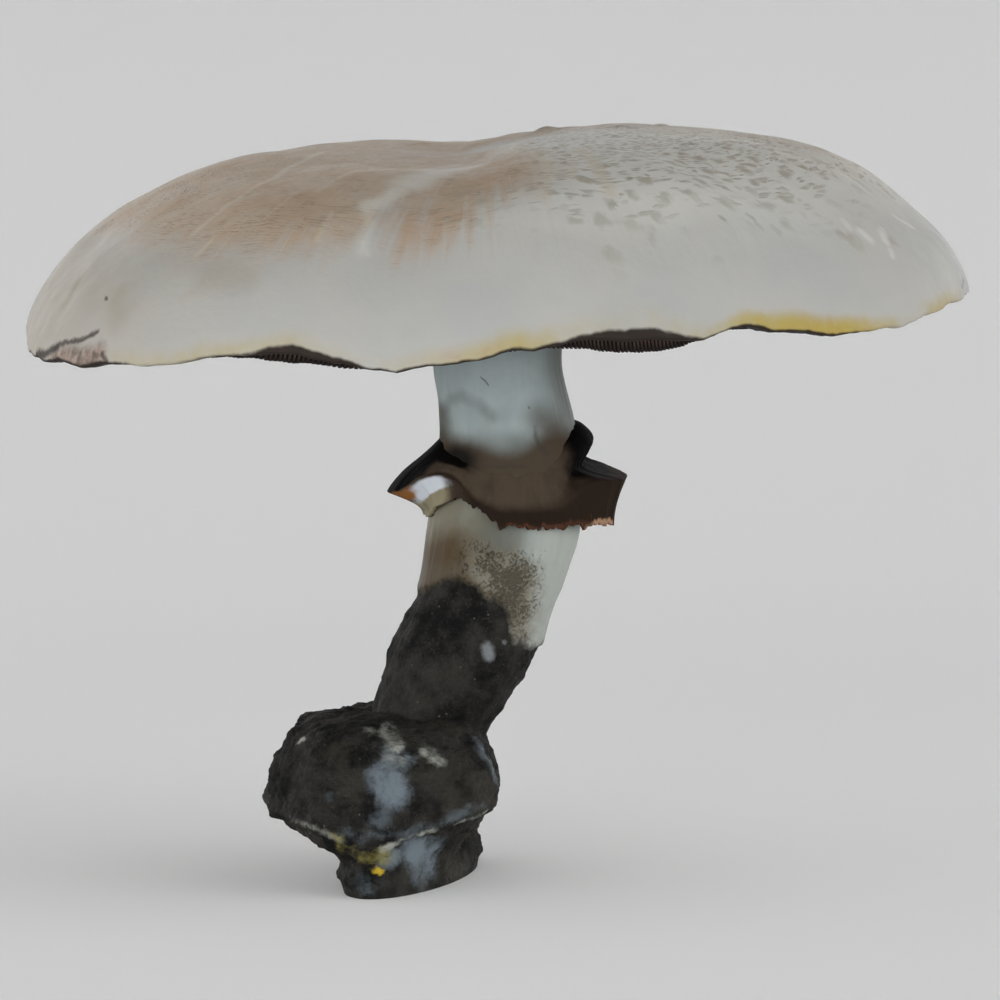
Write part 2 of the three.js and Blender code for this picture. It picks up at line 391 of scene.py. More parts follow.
class Bench:
    """A node tree with short ways to lay its nodes and join them."""

    def __init__(self, tree: bpy.types.NodeTree) -> None:
        """Starts work on a tree."""
        self.tree = tree

    def feed(self, socket: Socket, value: Feed) -> None:
        """Links a socket to an input, or sets the input's value.

        Args:
            socket: The input.
            value: A socket, a value, or None to leave the input as it is.
        """
        if isinstance(value, bpy.types.NodeSocket):
            self.tree.links.new(value, socket)
        elif value is not None:
            socket.default_value = value

    def lay(self, kind: str, feeds: dict[int | str, Feed], **settings: object) -> bpy.types.Node:
        """Adds a node.

        Args:
            kind: The node's type.
            feeds: Sockets or values for its inputs, by name or number.
            settings: The node's own settings.

        Returns:
            The node.
        """
        node = self.tree.nodes.new(kind)
        for name, value in settings.items():
            setattr(node, name, value)
        for key, value in feeds.items():
            self.feed(node.inputs[key], value)
        return node

    def math(self, operation: str, *feeds: Feed) -> Socket:
        """A Math node's result."""
        return self.lay("ShaderNodeMath", dict(enumerate(feeds)), operation=operation).outputs[0]

    def vector(self, operation: str, *feeds: Feed) -> bpy.types.Node:
        """A Vector Math node."""
        return self.lay("ShaderNodeVectorMath", dict(enumerate(feeds)), operation=operation)

    def scaled(self, vector: Feed, factor: Feed) -> Socket:
        """A vector times a number."""
        node = self.lay("ShaderNodeVectorMath", {0: vector, "Scale": factor}, operation="SCALE")
        return node.outputs[0]

    def span(self, value: Feed, low: Feed, high: Feed, to_low: Feed = 0.0, to_high: Feed = 1.0) -> Socket:
        """Eases from one value to another as the input goes from low to high."""
        feeds = {"Value": value, "From Min": low, "From Max": high, "To Min": to_low, "To Max": to_high}
        return self.lay("ShaderNodeMapRange", feeds, interpolation_type="SMOOTHSTEP").outputs[0]

    def times(self, *feeds: Feed) -> Socket:
        """The product of all its inputs."""
        return functools.reduce(lambda product, feed: self.math("MULTIPLY", product, feed), feeds)

    def mix(self, factor: Feed, first: Feed, second: Feed) -> Socket:
        """A colour between two others."""
        feeds = {0: factor, 6: first, 7: second}
        return self.lay("ShaderNodeMix", feeds, data_type="RGBA", clamp_factor=True).outputs[2]

    def between(self, factor: Feed, first: Feed, second: Feed) -> Socket:
        """A number between two others."""
        feeds = {0: factor, 2: first, 3: second}
        return self.lay("ShaderNodeMix", feeds, data_type="FLOAT", clamp_factor=True).outputs[0]

    def noise(self, vector: Feed, scale: Feed, detail: float = 3.0, roughness: float = 0.55) -> Socket:
        """Noise from 0 to 1."""
        feeds = {"Vector": vector, "Scale": scale, "Detail": detail, "Roughness": roughness}
        return self.lay("ShaderNodeTexNoise", feeds).outputs[0]

    def cells(self, vector: Feed, scale: Feed, randomness: float = 1.0) -> bpy.types.Node:
        """A Voronoi node."""
        feeds = {"Vector": vector, "Scale": scale, "Randomness": randomness}
        return self.lay("ShaderNodeTexVoronoi", feeds)

    def layer(self, name: str) -> bpy.types.Node:
        """The node that reads one of the piece's layers."""
        return self.lay("ShaderNodeAttribute", {}, attribute_name=name)

    def parts(self, vector: Feed) -> tuple[Socket, Socket, Socket]:
        """A vector's three numbers."""
        outputs = self.lay("ShaderNodeSeparateXYZ", {0: vector}).outputs
        return outputs[0], outputs[1], outputs[2]

    def joined(self, x: Feed, y: Feed, z: Feed) -> Socket:
        """A vector from three numbers."""
        return self.lay("ShaderNodeCombineXYZ", {0: x, 1: y, 2: z}).outputs[0]

    def shrunk(self, place: Feed, size: Feed) -> Socket:
        """A place divided by a size."""
        return self.vector("DIVIDE", place, self.joined(size, size, size)).outputs[0]

    def place(self) -> Socket:
        """The place on the object, in millimetres."""
        return self.scaled(self.lay("ShaderNodeTexCoord", {}).outputs["Object"], 1 / MM)

    def group(self, tree: bpy.types.NodeTree, feeds: dict[int | str, Feed]) -> bpy.types.Node:
        """A shared effect, placed with its own values."""
        return self.lay("ShaderNodeGroup", feeds, node_tree=tree)


def effect(
    name: str, inputs: dict[str, Feed], outputs: Sequence[str]
) -> tuple[Bench, bpy.types.Node, bpy.types.Node]:
    """Starts a node group.

    Args:
        name: The group's name.
        inputs: Each input's default: a number, three for a vector or four for a colour.
        outputs: The outputs. One whose name ends in Colour is a colour, and the others are numbers.

    Returns:
        A bench on the group, its input node and its output node.
    """
    tree = bpy.data.node_groups.new(name, "ShaderNodeTree")
    for label, default in inputs.items():
        size = len(default) if isinstance(default, Sequence) else 1
        kind = {1: "NodeSocketFloat", 3: "NodeSocketVector", 4: "NodeSocketColor"}[size]
        tree.interface.new_socket(name=label, in_out="INPUT", socket_type=kind).default_value = default
    for label in outputs:
        kind = "NodeSocketColor" if label.endswith("Colour") else "NodeSocketFloat"
        tree.interface.new_socket(name=label, in_out="OUTPUT", socket_type=kind)
    return Bench(tree), tree.nodes.new("NodeGroupInput"), tree.nodes.new("NodeGroupOutput")


@functools.cache
def stroke_effect() -> bpy.types.NodeTree:
    """A mask round a straight stretch between two places, with a soft edge.

    Returns:
        The node group.
    """
    inputs = {"Place": ORIGIN, "Start": ORIGIN, "End": ORIGIN, "Width": 1.0, "Softness": 0.5}
    bench, given, result = effect("stroke", inputs, ["Mask"])
    place, start, end, width, softness = given.outputs[:5]
    offset = bench.vector("SUBTRACT", place, start).outputs[0]
    stretch = bench.vector("SUBTRACT", end, start).outputs[0]
    square = bench.vector("DOT_PRODUCT", stretch, stretch).outputs["Value"]
    reach = bench.vector("DOT_PRODUCT", offset, stretch).outputs["Value"]
    feeds = {0: reach, 1: bench.math("MAXIMUM", square, 1e-6)}
    share = bench.lay("ShaderNodeMath", feeds, operation="DIVIDE", use_clamp=True)
    gap = bench.vector("DISTANCE", offset, bench.scaled(stretch, share.outputs[0])).outputs["Value"]
    ratio = bench.math("DIVIDE", gap, width)
    inner, outer = bench.math("SUBTRACT", 1.0, softness), bench.math("ADD", 1.0, softness)
    bench.feed(result.inputs["Mask"], bench.span(ratio, outer, inner))
    return bench.tree


@functools.cache
def mottle_effect() -> bpy.types.NodeTree:
    """Two tones that run into each other in soft, uneven patches.

    Returns:
        The node group.
    """
    tones = {"First Colour": tone(90, 90, 90), "Second Colour": tone(180, 180, 180)}
    inputs = {"Place": ORIGIN, "Size": 10.0, **tones, "Edge": 0.15}
    bench, given, result = effect("mottle", inputs, ["Colour"])
    place, size, first, second, edge = given.outputs[:5]
    spread = bench.noise(bench.shrunk(place, size), 1.0, 5.0, 0.6)
    low, high = bench.math("SUBTRACT", 0.5, edge), bench.math("ADD", 0.5, edge)
    bench.feed(result.inputs["Colour"], bench.mix(bench.span(spread, low, high), first, second))
    return bench.tree


@functools.cache
def speck_effect() -> bpy.types.NodeTree:
    """A mask of scattered specks, each of its own size.

    Returns:
        The node group.
    """
    inputs = {"Place": ORIGIN, "Spacing": 2.0, "Amount": 0.5, "Size": 0.3}
    bench, given, result = effect("specks", inputs, ["Mask"])
    place, spacing, amount, size = given.outputs[:4]
    cells = bench.cells(bench.shrunk(place, spacing), 1.0)
    chance, own, _ = bench.parts(cells.outputs["Color"])
    radius = bench.times(size, bench.span(own, 0.0, 1.0, 0.5, 1.1))
    dot = bench.span(bench.math("DIVIDE", cells.outputs["Distance"], radius), 1.15, 0.7)
    bench.feed(result.inputs["Mask"], bench.times(dot, bench.math("LESS_THAN", chance, amount)))
    return bench.tree


@functools.cache
def soil_effect() -> bpy.types.NodeTree:
    """Damp, crumbly forest soil with fine pale grit, and painted shade in its low spots.

    Returns:
        The node group.
    """
    inputs = {"Place": ORIGIN, "Grit": 0.4}
    bench, given, result = effect("soil crust", inputs, ["Colour", "Height", "Roughness"])
    place, grit = given.outputs[:2]
    lumps = bench.noise(place, 0.13, 6.0, 0.62)
    crumbs = bench.cells(place, 0.75).outputs["Distance"]
    fine = bench.noise(place, 1.7, 3.0, 0.7)
    ground = bench.mix(bench.span(lumps, 0.36, 0.66), tone(17, 17, 17), tone(42, 41, 38))
    dusted = bench.mix(bench.span(fine, 0.5, 0.76, 0.0, 0.5), ground, tone(62, 60, 54))
    # Painted shade, very dark, in the low spots of the relief.
    pit_shade = bench.mix(bench.span(lumps, 0.45, 0.34, 0.0, 0.7), dusted, tone(15, 15, 15))
    feeds = {"Place": place, "Spacing": 1.5, "Amount": grit, "Size": 0.17}
    specks = bench.group(speck_effect(), feeds).outputs[0]
    bench.feed(result.inputs["Colour"], bench.mix(bench.times(specks, 0.35), pit_shade, tone(104, 102, 95)))
    height = bench.math("ADD", bench.times(lumps, 1.2), bench.times(fine, 0.35))
    bench.feed(result.inputs["Height"], bench.math("SUBTRACT", height, bench.times(crumbs, 0.28)))
    bench.feed(result.inputs["Roughness"], bench.span(lumps, 0.3, 0.7, 0.98, 0.74))
    return bench.tree


@functools.cache
def film_effect() -> bpy.types.NodeTree:
    """Breaks a mask up into the thin, torn film of a mould.

    Returns:
        The node group.
    """
    inputs = {"Place": ORIGIN, "Mask": 0.0, "Size": 3.0, "Loss": 0.6}
    bench, given, result = effect("film", inputs, ["Mask"])
    place, mask, size, loss = given.outputs[:4]
    spread = bench.noise(bench.shrunk(place, size), 1.0, 5.0, 0.65)
    gaps = bench.times(bench.math("SUBTRACT", 0.56, spread), bench.times(loss, 3.4))
    thinned = bench.math("SUBTRACT", mask, bench.math("MAXIMUM", gaps, 0.0))
    bench.feed(result.inputs["Mask"], bench.span(thinned, 0.0, 1.05))
    return bench.tree


@dataclass(frozen=True)
class Mark:
    """A drawn mark: the places it passes, its half-width, its soft edge and how strongly it shows."""

    path: Path
    width: float
    softness: float = 0.5
    strength: float = 1.0


def draw_marks(bench: Bench, place: Feed, marks: Sequence[Mark]) -> Socket:
    """Lays a stroke for each stretch of each mark.

    Args:
        bench: The bench to work on.
        place: The place on the surface, in the same terms as the marks' paths.
        marks: The marks.

    Returns:
        A mask of them all.
    """
    total: Feed = 0.0
    for mark in marks:
        ends = list(zip(mark.path, mark.path[1:])) or [(mark.path[0], mark.path[0])]
        whole: Feed = 0.0
        for start, end in ends:
            feeds = {"Place": place, "Start": start, "End": end, "Width": mark.width}
            stroke = bench.group(stroke_effect(), {**feeds, "Softness": mark.softness}).outputs[0]
            whole = stroke if whole == 0.0 else bench.math("MAXIMUM", whole, stroke)
        shown = whole if mark.strength == 1.0 else bench.times(whole, mark.strength)
        total = shown if total == 0.0 else bench.math("MAXIMUM", total, shown)
    return total


def soft_marks(points: Array, marks: Sequence[Mark], reach: float, seed: float) -> Array:
    """How strongly soft marks show at each point, with edges that wander this far.

    Args:
        points: The points, in the same terms as the marks' paths.
        marks: The marks, each with a path of two places or more.
        reach: How far the edges wander, in mm.
        seed: The seed of the wandering.

    Returns:
        A value from 0 to 1 for each point.
    """
    nudged = points + reach * np.column_stack([grain(points, 7, seed + step, 3) for step in range(3)])
    total = np.zeros(len(points))
    for mark in marks:
        ratio = distance_to(nudged, mark.path) / mark.width
        total = np.maximum(total, mark.strength * ease(1 + mark.softness, 1 - mark.softness, ratio))
    return total


def wobbled(bench: Bench, place: Feed, scale: float, reach: float, detail: float = 4.0) -> Socket:
    """A place nudged by noise, which makes the edges drawn from it ragged.

    Args:
        bench: The bench to work on.
        place: The place.
        scale: How fine the noise is.
        reach: How far it nudges.
        detail: How much finer noise is in it.

    Returns:
        The nudged place.
    """
    feeds = {"Vector": place, "Scale": scale, "Detail": detail, "Roughness": 0.65}
    colour = bench.lay("ShaderNodeTexNoise", feeds).outputs["Color"]
    nudge = bench.scaled(bench.vector("SUBTRACT", colour, (0.5, 0.5, 0.5)).outputs[0], reach)
    return bench.vector("ADD", place, nudge).outputs[0]


class MaterialBench(Bench):
    """A bench on a new material's tree."""

    def __init__(self, name: str) -> None:
        """Makes the material.

        Args:
            name: The material's name.
        """
        self.material = bpy.data.materials.new(name)
        self.material.use_nodes = True
        self.material.node_tree.nodes.clear()
        super().__init__(self.material.node_tree)


def finish_material(
    bench: MaterialBench, colour: Feed, roughness: Feed, height: Feed, depth: float, specular: float = 0.35
) -> bpy.types.Material:
    """Ends a material: its surface colour, roughness and relief.

    Args:
        bench: The bench on the material's tree.
        colour: The surface colour.
        roughness: The roughness.
        height: The relief, from 0 to about 1.
        depth: How deep a relief of 1 is, in millimetres.
        specular: How strongly the surface reflects, where 0.5 is plain.

    Returns:
        The material.
    """
    bump = bench.lay("ShaderNodeBump", {"Height": height, "Strength": 1.0, "Distance": depth * MM})
    feeds = {
        "Base Color": colour,
        "Roughness": roughness,
        "Normal": bump.outputs[0],
        "Specular IOR Level": specular,
    }
    shader = bench.lay("ShaderNodeBsdfPrincipled", feeds)
    bench.lay("ShaderNodeOutputMaterial", {"Surface": shader.outputs[0]})
    return bench.material


# ---------------------------------------------------------------- the cap

# From the crown's middle out to the lip, as shares of the cap's radius and crown.
CAP_SKIN = (
    (0, 0.985),
    (0.22, 0.985),
    (0.44, 0.94),
    (0.62, 0.85),
    (0.76, 0.71),
    (0.87, 0.505),
    (0.94, 0.31),
    (0.985, 0.12),
    (1, 0),
    (0.995, -0.02),
    (0.98, -0.026),
)

# From just inside the lip in to the flesh over the stem.
CAP_UNDERSIDE = (
    (0.967, -0.012),
    (0.95, 0.06),
    (0.9, 0.19),
    (0.8, 0.33),
    (0.68, 0.43),
    (0.55, 0.49),
    (0.38, 0.53),
    (0.24, 0.54),
    (0, 0.54),
)

# The gills' free edges, from the stem out to the margin.
GILL_EDGES = (
    (0.235, 0.46),
    (0.27, 0.36),
    (0.4, 0.27),
    (0.6, 0.15),
    (0.8, 0.035),
    (0.91, -0.005),
    (0.955, -0.012),
)

# Waves of the margin: azimuth, width in radians and rise.
MARGIN_WAVES = (
    (-173, 0.1, 1.4),
    (-154, 0.28, -1.6),
    (-119, 0.16, 1.9),
    (-112, 0.1, 0.9),
    (-101, 0.15, -1.6),
    (-81, 0.14, 1.7),
    (-74, 0.13, 0.6),
    (-55, 0.14, 1.8),
    (-32, 0.3, -2.2),
    (22, 0.3, 1.3),
    (58, 0.24, -2.2),
    (96, 0.25, 1.8),
    (138, 0.3, -1.4),
)

# Folds of the crown: azimuth, slant in degrees, width in radians, depth, middle and reach.
CROWN_FOLDS = (
    (-98, -14, 0.2, 1.7, 0.52, 0.36),
    (-152, 6, 0.2, 1.0, 0.62, 0.3),
    (-38, 4, 0.2, 0.8, 0.66, 0.26),
    (64, 10, 0.3, 1.9, 0.55, 0.34),
    (150, -8, 0.24, 1.2, 0.6, 0.3),
    (-176, 0, 1.3, 2.2, 0.3, 0.34),
)

# Broad dents and swellings of the crown: places across it that each one runs through, its width and rise.
CROWN_LAY = (
    (((-6, 50, 0), (-9, 0, 0), (-13, -30, 0)), 14.0, -3.1),
    (((-47, -25, 0), (-46, 30, 0)), 13.0, 1.2),
    (((-80, -12, 0), (-79, 25, 0)), 13.0, -1.1),
    (((96, -24, 0), (96, 28, 0)), 8.8, -3.75),
)

# How far out the brown of the crown reaches, how strong it is, and how scaly the skin is there.
CROWN_TINT = (
    (-177, 88, 0.85, 0.1),
    (-153, 83, 1.0, 0.05),
    (-140, 85, 1.0, 0.05),
    (-130, 89, 1.0, 0.08),
    (-114, 90, 0.85, 0.12),
    (-105, 86, 0.7, 0.2),
    (-100, 89, 0.8, 0.3),
    (-94, 84, 0.68, 0.4),
    (-88, 78, 0.56, 0.5),
    (-80, 76, 0.42, 0.75),
    (-72, 70, 0.16, 0.9),
    (-55, 64, 0.1, 1.0),
    (-28, 68, 0.12, 1.0),
    (-12, 84, 0.34, 0.9),
    (12, 86, 0.5, 0.7),
    (40, 78, 0.6, 0.75),
    (75, 84, 0.8, 0.5),
    (110, 90, 0.85, 0.35),
    (145, 84, 0.8, 0.2),
)

# Warmer patches of the pale skin: azimuth, spread in degrees, warmth, and middle and reach along the skin.
WARM_PATCHES = ((-130, 30, 0.35, 92, 9), (-12, 16, 0.5, 90, 10), (180, 22, 0.5, 90, 12))

# The margin: how strong its yellow stain is, how high the stain reaches, how dark the very edge is and how
# high the dark reaches.
MARGIN_TINT = (
    (-165, 0.1, 2.0, 0.9, 0.8),
    (-142, 0.2, 2.0, 1.0, 1.2),
    (-136, 0.25, 1.8, 0.9, 1.1),
    (-130, 0.35, 1.8, 0.4, 0.6),
    (-120, 0.4, 2.0, 0.6, 0.8),
    (-112, 0.35, 2.0, 1.0, 2.4),
    (-104, 0.2, 2.0, 0.9, 1.0),
    (-95, 0.5, 2.0, 0.8, 1.0),
    (-88, 0.62, 2.6, 0.8, 1.1),
    (-82, 0.35, 2.6, 0.9, 1.4),
    (-72, 0.25, 3.6, 1.0, 3.0),
    (-62, 0.4, 1.6, 0.8, 1.0),
    (-54, 0.8, 1.8, 1.0, 1.2),
    (-49, 0.95, 2.3, 1.0, 1.0),
    (-38, 0.95, 2.1, 0.9, 0.9),
    (-30, 0.5, 1.4, 0.3, 0.5),
    (-24, 0.2, 2.0, 0.1, 0.5),
    (-18, 0.6, 2.0, 0.1, 0.5),
    (-10, 0.4, 1.8, 0.3, 0.5),
    (0, 0.05, 2.0, 0.3, 0.5),
    (35, 0.5, 3.0, 0.4, 0.5),
    (60, 0.1, 2.0, 0.9, 1.8),
    (100, 0.7, 3.2, 0.3, 0.5),
    (125, 0.15, 2.0, 0.9, 1.6),
    (160, 0.4, 2.4, 0.6, 0.8),
)

# The skin's marks, as (azimuth, length of skin from the crown's middle) pairs.
# A pale streak down the crown's broad fold: partly the skin's paler colour, partly painted sheen.
VALLEY_SHEEN = (
    Mark(((-97, 41), (-103, 46), (-106, 60)), 3.4, 0.9, 0.9),
    Mark(((-106, 60), (-108, 68), (-109, 74)), 1.9, 0.8, 0.8),
    Mark(((-109, 74), (-108.2, 82), (-107.5, 90)), 1.2, 0.9, 0.5),
)
CREAM_STREAKS = (
    Mark(((-178, 36), (-152, 46), (-137.8, 57.6), (-134.1, 70.5), (-133.9, 84)), 0.7, 0.95, 0.65),
    Mark(((-123, 44), (-121, 56), (-120, 68)), 0.6, 0.95, 0.4),
    Mark(((-113.8, 77.5), (-113.5, 83), (-113.3, 88)), 0.6, 0.95, 0.55),
    Mark(((-129.1, 87), (-129.5, 91)), 0.6, 0.95, 0.5),
    Mark(((-64.1, 43.4), (-67.1, 56.4), (-69.7, 76)), 1.5, 0.95, 0.65),
    Mark(((-77.3, 53.5), (-81.3, 76)), 0.9, 0.95, 0.5),
    Mark(((-71.3, 53.4), (-75, 68.7)), 0.8, 0.95, 0.5),
    Mark(((34, 40), (31, 54), (33, 72)), 0.8, 0.95, 0.4),
    Mark(((88, 48), (91, 62), (90, 84)), 0.8, 0.95, 0.4),
    Mark(((131, 44), (130, 62), (126, 78)), 0.8, 0.95, 0.4),
    Mark(((164, 52), (165, 68), (169, 86)), 0.7, 0.95, 0.4),
)
# Painted highlights: small whitish spots of light on the cap's right side.
PAINTED_HIGHLIGHTS = (
    Mark(((-26.8, 90), (-27.2, 92.5)), 0.8, 0.8, 0.35),
    Mark(((-25.4, 94.2), (-24.9, 96.6)), 1.1, 0.9, 0.5),
    Mark(((-21.0, 96.2), (-21.7, 98)), 1.2, 0.9, 0.5),
    Mark(((-22.2, 100.4), (-22.8, 101.8)), 0.8, 0.9, 0.4),
    Mark(((-20.0, 95.0), (-20.4, 96.2)), 0.9, 0.9, 0.35),
    Mark(((-11, 93), (-8, 97)), 0.7, 0.8, 0.4),
    Mark(((118, 88), (116, 94)), 0.9, 0.8, 0.5),
)
SMUDGES = (
    Mark(((-153.5, 98.5), (-152.5, 102.5)), 1.8, 0.98, 0.5),
    Mark(((-139.2, 101.5), (-136.5, 105.5)), 3.2, 0.98, 0.32),
    Mark(((-125, 98), (-120.5, 99.5)), 3.4, 0.98, 0.3),
    Mark(((20, 100), (24, 104)), 2.2, 0.98, 0.35),
    Mark(((84, 96), (86, 101)), 2.6, 0.98, 0.35),
    Mark(((143, 99), (140, 101)), 1.8, 0.98, 0.4),
)
CRACK = (
    Mark(((-155, 116.2), (-151, 115.0), (-147, 113.5)), 0.95, 0.7, 0.95),
    Mark(((-147, 113.5), (-142.8, 111.3), (-139.4, 109.2)), 0.6, 0.8, 0.85),
    Mark(((-141.5, 101.3), (-140.9, 101.9)), 0.35, 0.8, 0.8),
    Mark(((-149, 118.6), (-141, 118.3), (-136.5, 117.8)), 0.9, 0.7, 0.95),
    Mark(((-137.4, 114.4), (-136.4, 116.2)), 0.6, 0.8, 0.75),
    Mark(((-133.4, 116.4), (-133, 116.8)), 0.4, 0.8, 0.5),
    Mark(((-5, 114.5), (-2.5, 113.4)), 0.5, 0.9, 0.3),
)
TORN_PATCH = (Mark(((-147.5, 116.4), (-143, 115.0), (-138, 114.6)), 2.3, 0.7, 0.9),)

# Tufts on the crown: azimuth, length of skin from its middle, and rise. Their shade falls beside them.
CROWN_TUFTS = ((40.6, 14.8, 1.0), (6.4, 27.0, 0.7), (12.7, 37.3, 0.7), (-150, 24, 0.4), (120, 30, 0.6))
TUFT_SHADE = (
    Mark(((44, 12), (36, 20)), 1.6, 0.95, 0.4),
    Mark(((8, 23.5), (4, 31)), 1.4, 0.95, 0.35),
    Mark(((13.5, 35), (11.5, 40)), 1.2, 0.95, 0.35),
)


@dataclass(frozen=True)
class SkinFinish:
    """The cap's skin: pale, brown towards the crown, with fibres, flat scales and a stained margin, and with
    painted highlights and some painted sheen.
    """

    pale: Tone = tone(160, 159, 155)
    cool: Tone = tone(156, 157, 155)
    warm: Tone = tone(150, 145, 136)
    brown: Tone = tone(160, 139, 117)
    dun: Tone = tone(164, 148, 129)
    fibre: Tone = tone(104, 84, 68)
    beige: Tone = tone(190, 189, 183)
    scale: Tone = tone(136, 127, 110)
    blot: Tone = tone(142, 141, 129)
    rust: Tone = tone(128, 102, 82)
    cream: Tone = tone(174, 165, 149)
    # Painted highlight.
    painted_highlight: Tone = tone(196, 196, 192)
    smudge: Tone = tone(126, 116, 94)
    stain: Tone = tone(154, 138, 74)
    ochre: Tone = tone(150, 112, 66)
    shade: Tone = tone(84, 80, 74)
    rim: Tone = tone(40, 33, 28)
    torn: Tone = tone(140, 122, 112)
    frayed: Tone = tone(84, 72, 64)
    relief_depth: float = 0.35
    specular: float = 0.15

    def build(self) -> bpy.types.Material:
        """Builds the material.

        Returns:
            The material.
        """
        bench = MaterialBench("cap_skin")
        place = bench.place()
        plan = bench.layer("plan").outputs["Vector"]
        across, back, run = bench.parts(plan)
        flat = bench.joined(across, back, 0.0)
        outward = bench.vector("NORMALIZE", flat).outputs[0]
        depth = bench.math("LOGARITHM", bench.math("DIVIDE", run, 60.0), math.e)
        ragged = wobbled(bench, flat, 0.6, 1.5)

        def polar(sideways: float, outwards: float) -> Socket:
            """The place by azimuth and length of skin, scaled in each of the two directions."""
            lift = bench.joined(0.0, 0.0, bench.times(depth, outwards))
            return bench.vector("ADD", bench.scaled(outward, sideways), lift).outputs[0]

        def around_half(value: Socket, reach: float) -> Socket:
            """A value's distance from a half, scaled."""
            return bench.times(bench.math("SUBTRACT", value, 0.5), reach)

        colour = bench.mix(bench.span(bench.noise(place, 0.045, 3.0), 0.35, 0.65), self.cool, self.pale)
        colour = bench.mix(bench.layer("warm").outputs["Fac"], colour, self.warm)
        scaly = bench.layer("scaly").outputs["Fac"]
        colour = bench.mix(bench.times(scaly, bench.span(run, 120.0, 70.0, 0.0, 0.76)), colour, self.beige)

        brown = bench.layer("brown").outputs["Fac"]
        streaks = bench.noise(polar(28.0, 2.5), 1.0, 2.0, 0.5)
        combed = bench.layer("combed").outputs["Fac"]
        uneven = bench.noise(place, 0.13, 4.0, 0.6)
        ruffled = bench.math("ADD", brown, around_half(uneven, 0.5))
        fingers = bench.times(around_half(streaks, 1.5), combed)
        shade = bench.span(bench.math("ADD", ruffled, fingers), 0.05, 0.95)
        tint = bench.mix(bench.span(bench.noise(place, 0.06, 3.0), 0.4, 0.62), self.dun, self.brown)
        colour = bench.mix(bench.times(shade, 0.94), colour, tint)

        fibres = bench.noise(wobbled(bench, polar(30.0, 150.0), 0.5, 1.2), 1.0, 3.0, 0.6)
        broken = bench.noise(polar(10.0, 12.0), 1.0, 2.0)
        fibre = bench.times(bench.span(fibres, 0.46, 0.68), bench.span(broken, 0.3, 0.6), shade)
        colour = bench.mix(bench.times(fibre, 0.42), colour, self.fibre)
        silk = bench.noise(polar(80.0, 3.0), 1.0, 3.0, 0.6)
        silky = bench.times(bench.span(silk, 0.54, 0.74), bench.span(shade, 0.0, 0.55, 0.0, 0.4))
        colour = bench.mix(silky, colour, self.cream)

        scale = self.scales(bench, polar(15.0, 13.0), bench.times(scaly, 1.1), 0.52)
        dashed = bench.times(scaly, bench.span(run, 104.0, 58.0))
        dashes = self.scales(bench, polar(19.0, 52.0), dashed, 0.75)
        both = bench.math("MAXIMUM", scale, bench.times(dashes, 0.85))
        flecked = bench.span(bench.noise(place, 0.5), 0.4, 0.6)
        rusty = bench.times(bench.layer("rusty").outputs["Fac"], flecked)
        marked = bench.mix(rusty, bench.mix(bench.span(run, 62.0, 84.0), self.scale, self.blot), self.rust)
        colour = bench.mix(bench.times(both, bench.span(run, 108.0, 60.0, 0.45, 0.78)), colour, marked)

        # Pale streak down the crown's broad fold, partly painted sheen.
        colour = bench.mix(bench.times(bench.layer("valley_sheen").outputs["Fac"], 0.75), colour, self.beige)
        colour = bench.mix(draw_marks(bench, ragged, self.unrolled(CREAM_STREAKS)), colour, self.cream)
        # Painted highlights on the right of the cap.
        colour = bench.mix(draw_marks(bench, ragged, self.unrolled(PAINTED_HIGHLIGHTS)), colour, self.painted_highlight)
        colour = bench.mix(bench.layer("smudged").outputs["Fac"], colour, self.smudge)
        colour = bench.mix(bench.layer("shaded").outputs["Fac"], colour, self.shade)

        stain = bench.layer("stain").outputs["Fac"]
        patchy = bench.noise(place, 0.3, 3.0)
        stained = bench.span(bench.math("ADD", stain, around_half(patchy, 0.35)), 0.0, 1.0)
        cloudy = bench.span(bench.noise(place, 0.22, 2.0), 0.4, 0.6)
        deep = bench.times(bench.layer("ochre").outputs["Fac"], cloudy)
        colour = bench.mix(stained, colour, bench.mix(deep, self.stain, self.ochre))
        torn = draw_marks(bench, ragged, self.unrolled(TORN_PATCH))
        tones = {"First Colour": self.frayed, "Second Colour": self.torn}
        fray = bench.group(mottle_effect(), {"Place": place, "Size": 2.2, **tones, "Edge": 0.14})
        colour = bench.mix(torn, colour, fray.outputs[0])
        crack = draw_marks(bench, ragged, self.unrolled(CRACK))
        colour = bench.mix(crack, colour, self.rim)
        edge = bench.math("ADD", bench.layer("rim").outputs["Fac"], around_half(patchy, 0.6))
        colour = bench.mix(bench.span(edge, 0.25, 0.75), colour, self.rim)

        relief = bench.math("ADD", bench.times(both, 0.45), bench.times(bench.noise(place, 0.5, 3.0), 0.25))
        relief = bench.math("ADD", relief, bench.times(streaks, bench.span(combed, 0.0, 1.0, 0.15, 0.7)))
        relief = bench.math("SUBTRACT", relief, bench.times(fibre, 0.35))
        roughness = bench.span(bench.noise(place, 0.3, 3.0), 0.3, 0.7, 0.6, 0.75)
        return finish_material(bench, colour, roughness, relief, self.relief_depth, self.specular)

    @staticmethod
    def scales(bench: Bench, place: Socket, amount: Socket, size: float) -> Socket:
        """A mask of flat, irregular scales.

        Args:
            bench: The bench to work on.
            place: The place on the skin, scaled so that a scale is about 1 across.
            amount: The share of them that is there.
            size: Their mean radius.

        Returns:
            The mask.
        """
        cells = bench.cells(wobbled(bench, place, 1.4, 0.8, 1.5), 1.0, 0.95)
        chance, own, _ = bench.parts(cells.outputs["Color"])
        there = bench.span(bench.math("SUBTRACT", amount, chance), -0.05, 0.3)
        reach = bench.span(own, 0.0, 1.0, size * 0.45, size)
        ratio = bench.math("DIVIDE", cells.outputs["Distance"], reach)
        return bench.times(bench.span(ratio, 1.15, 0.35), there)

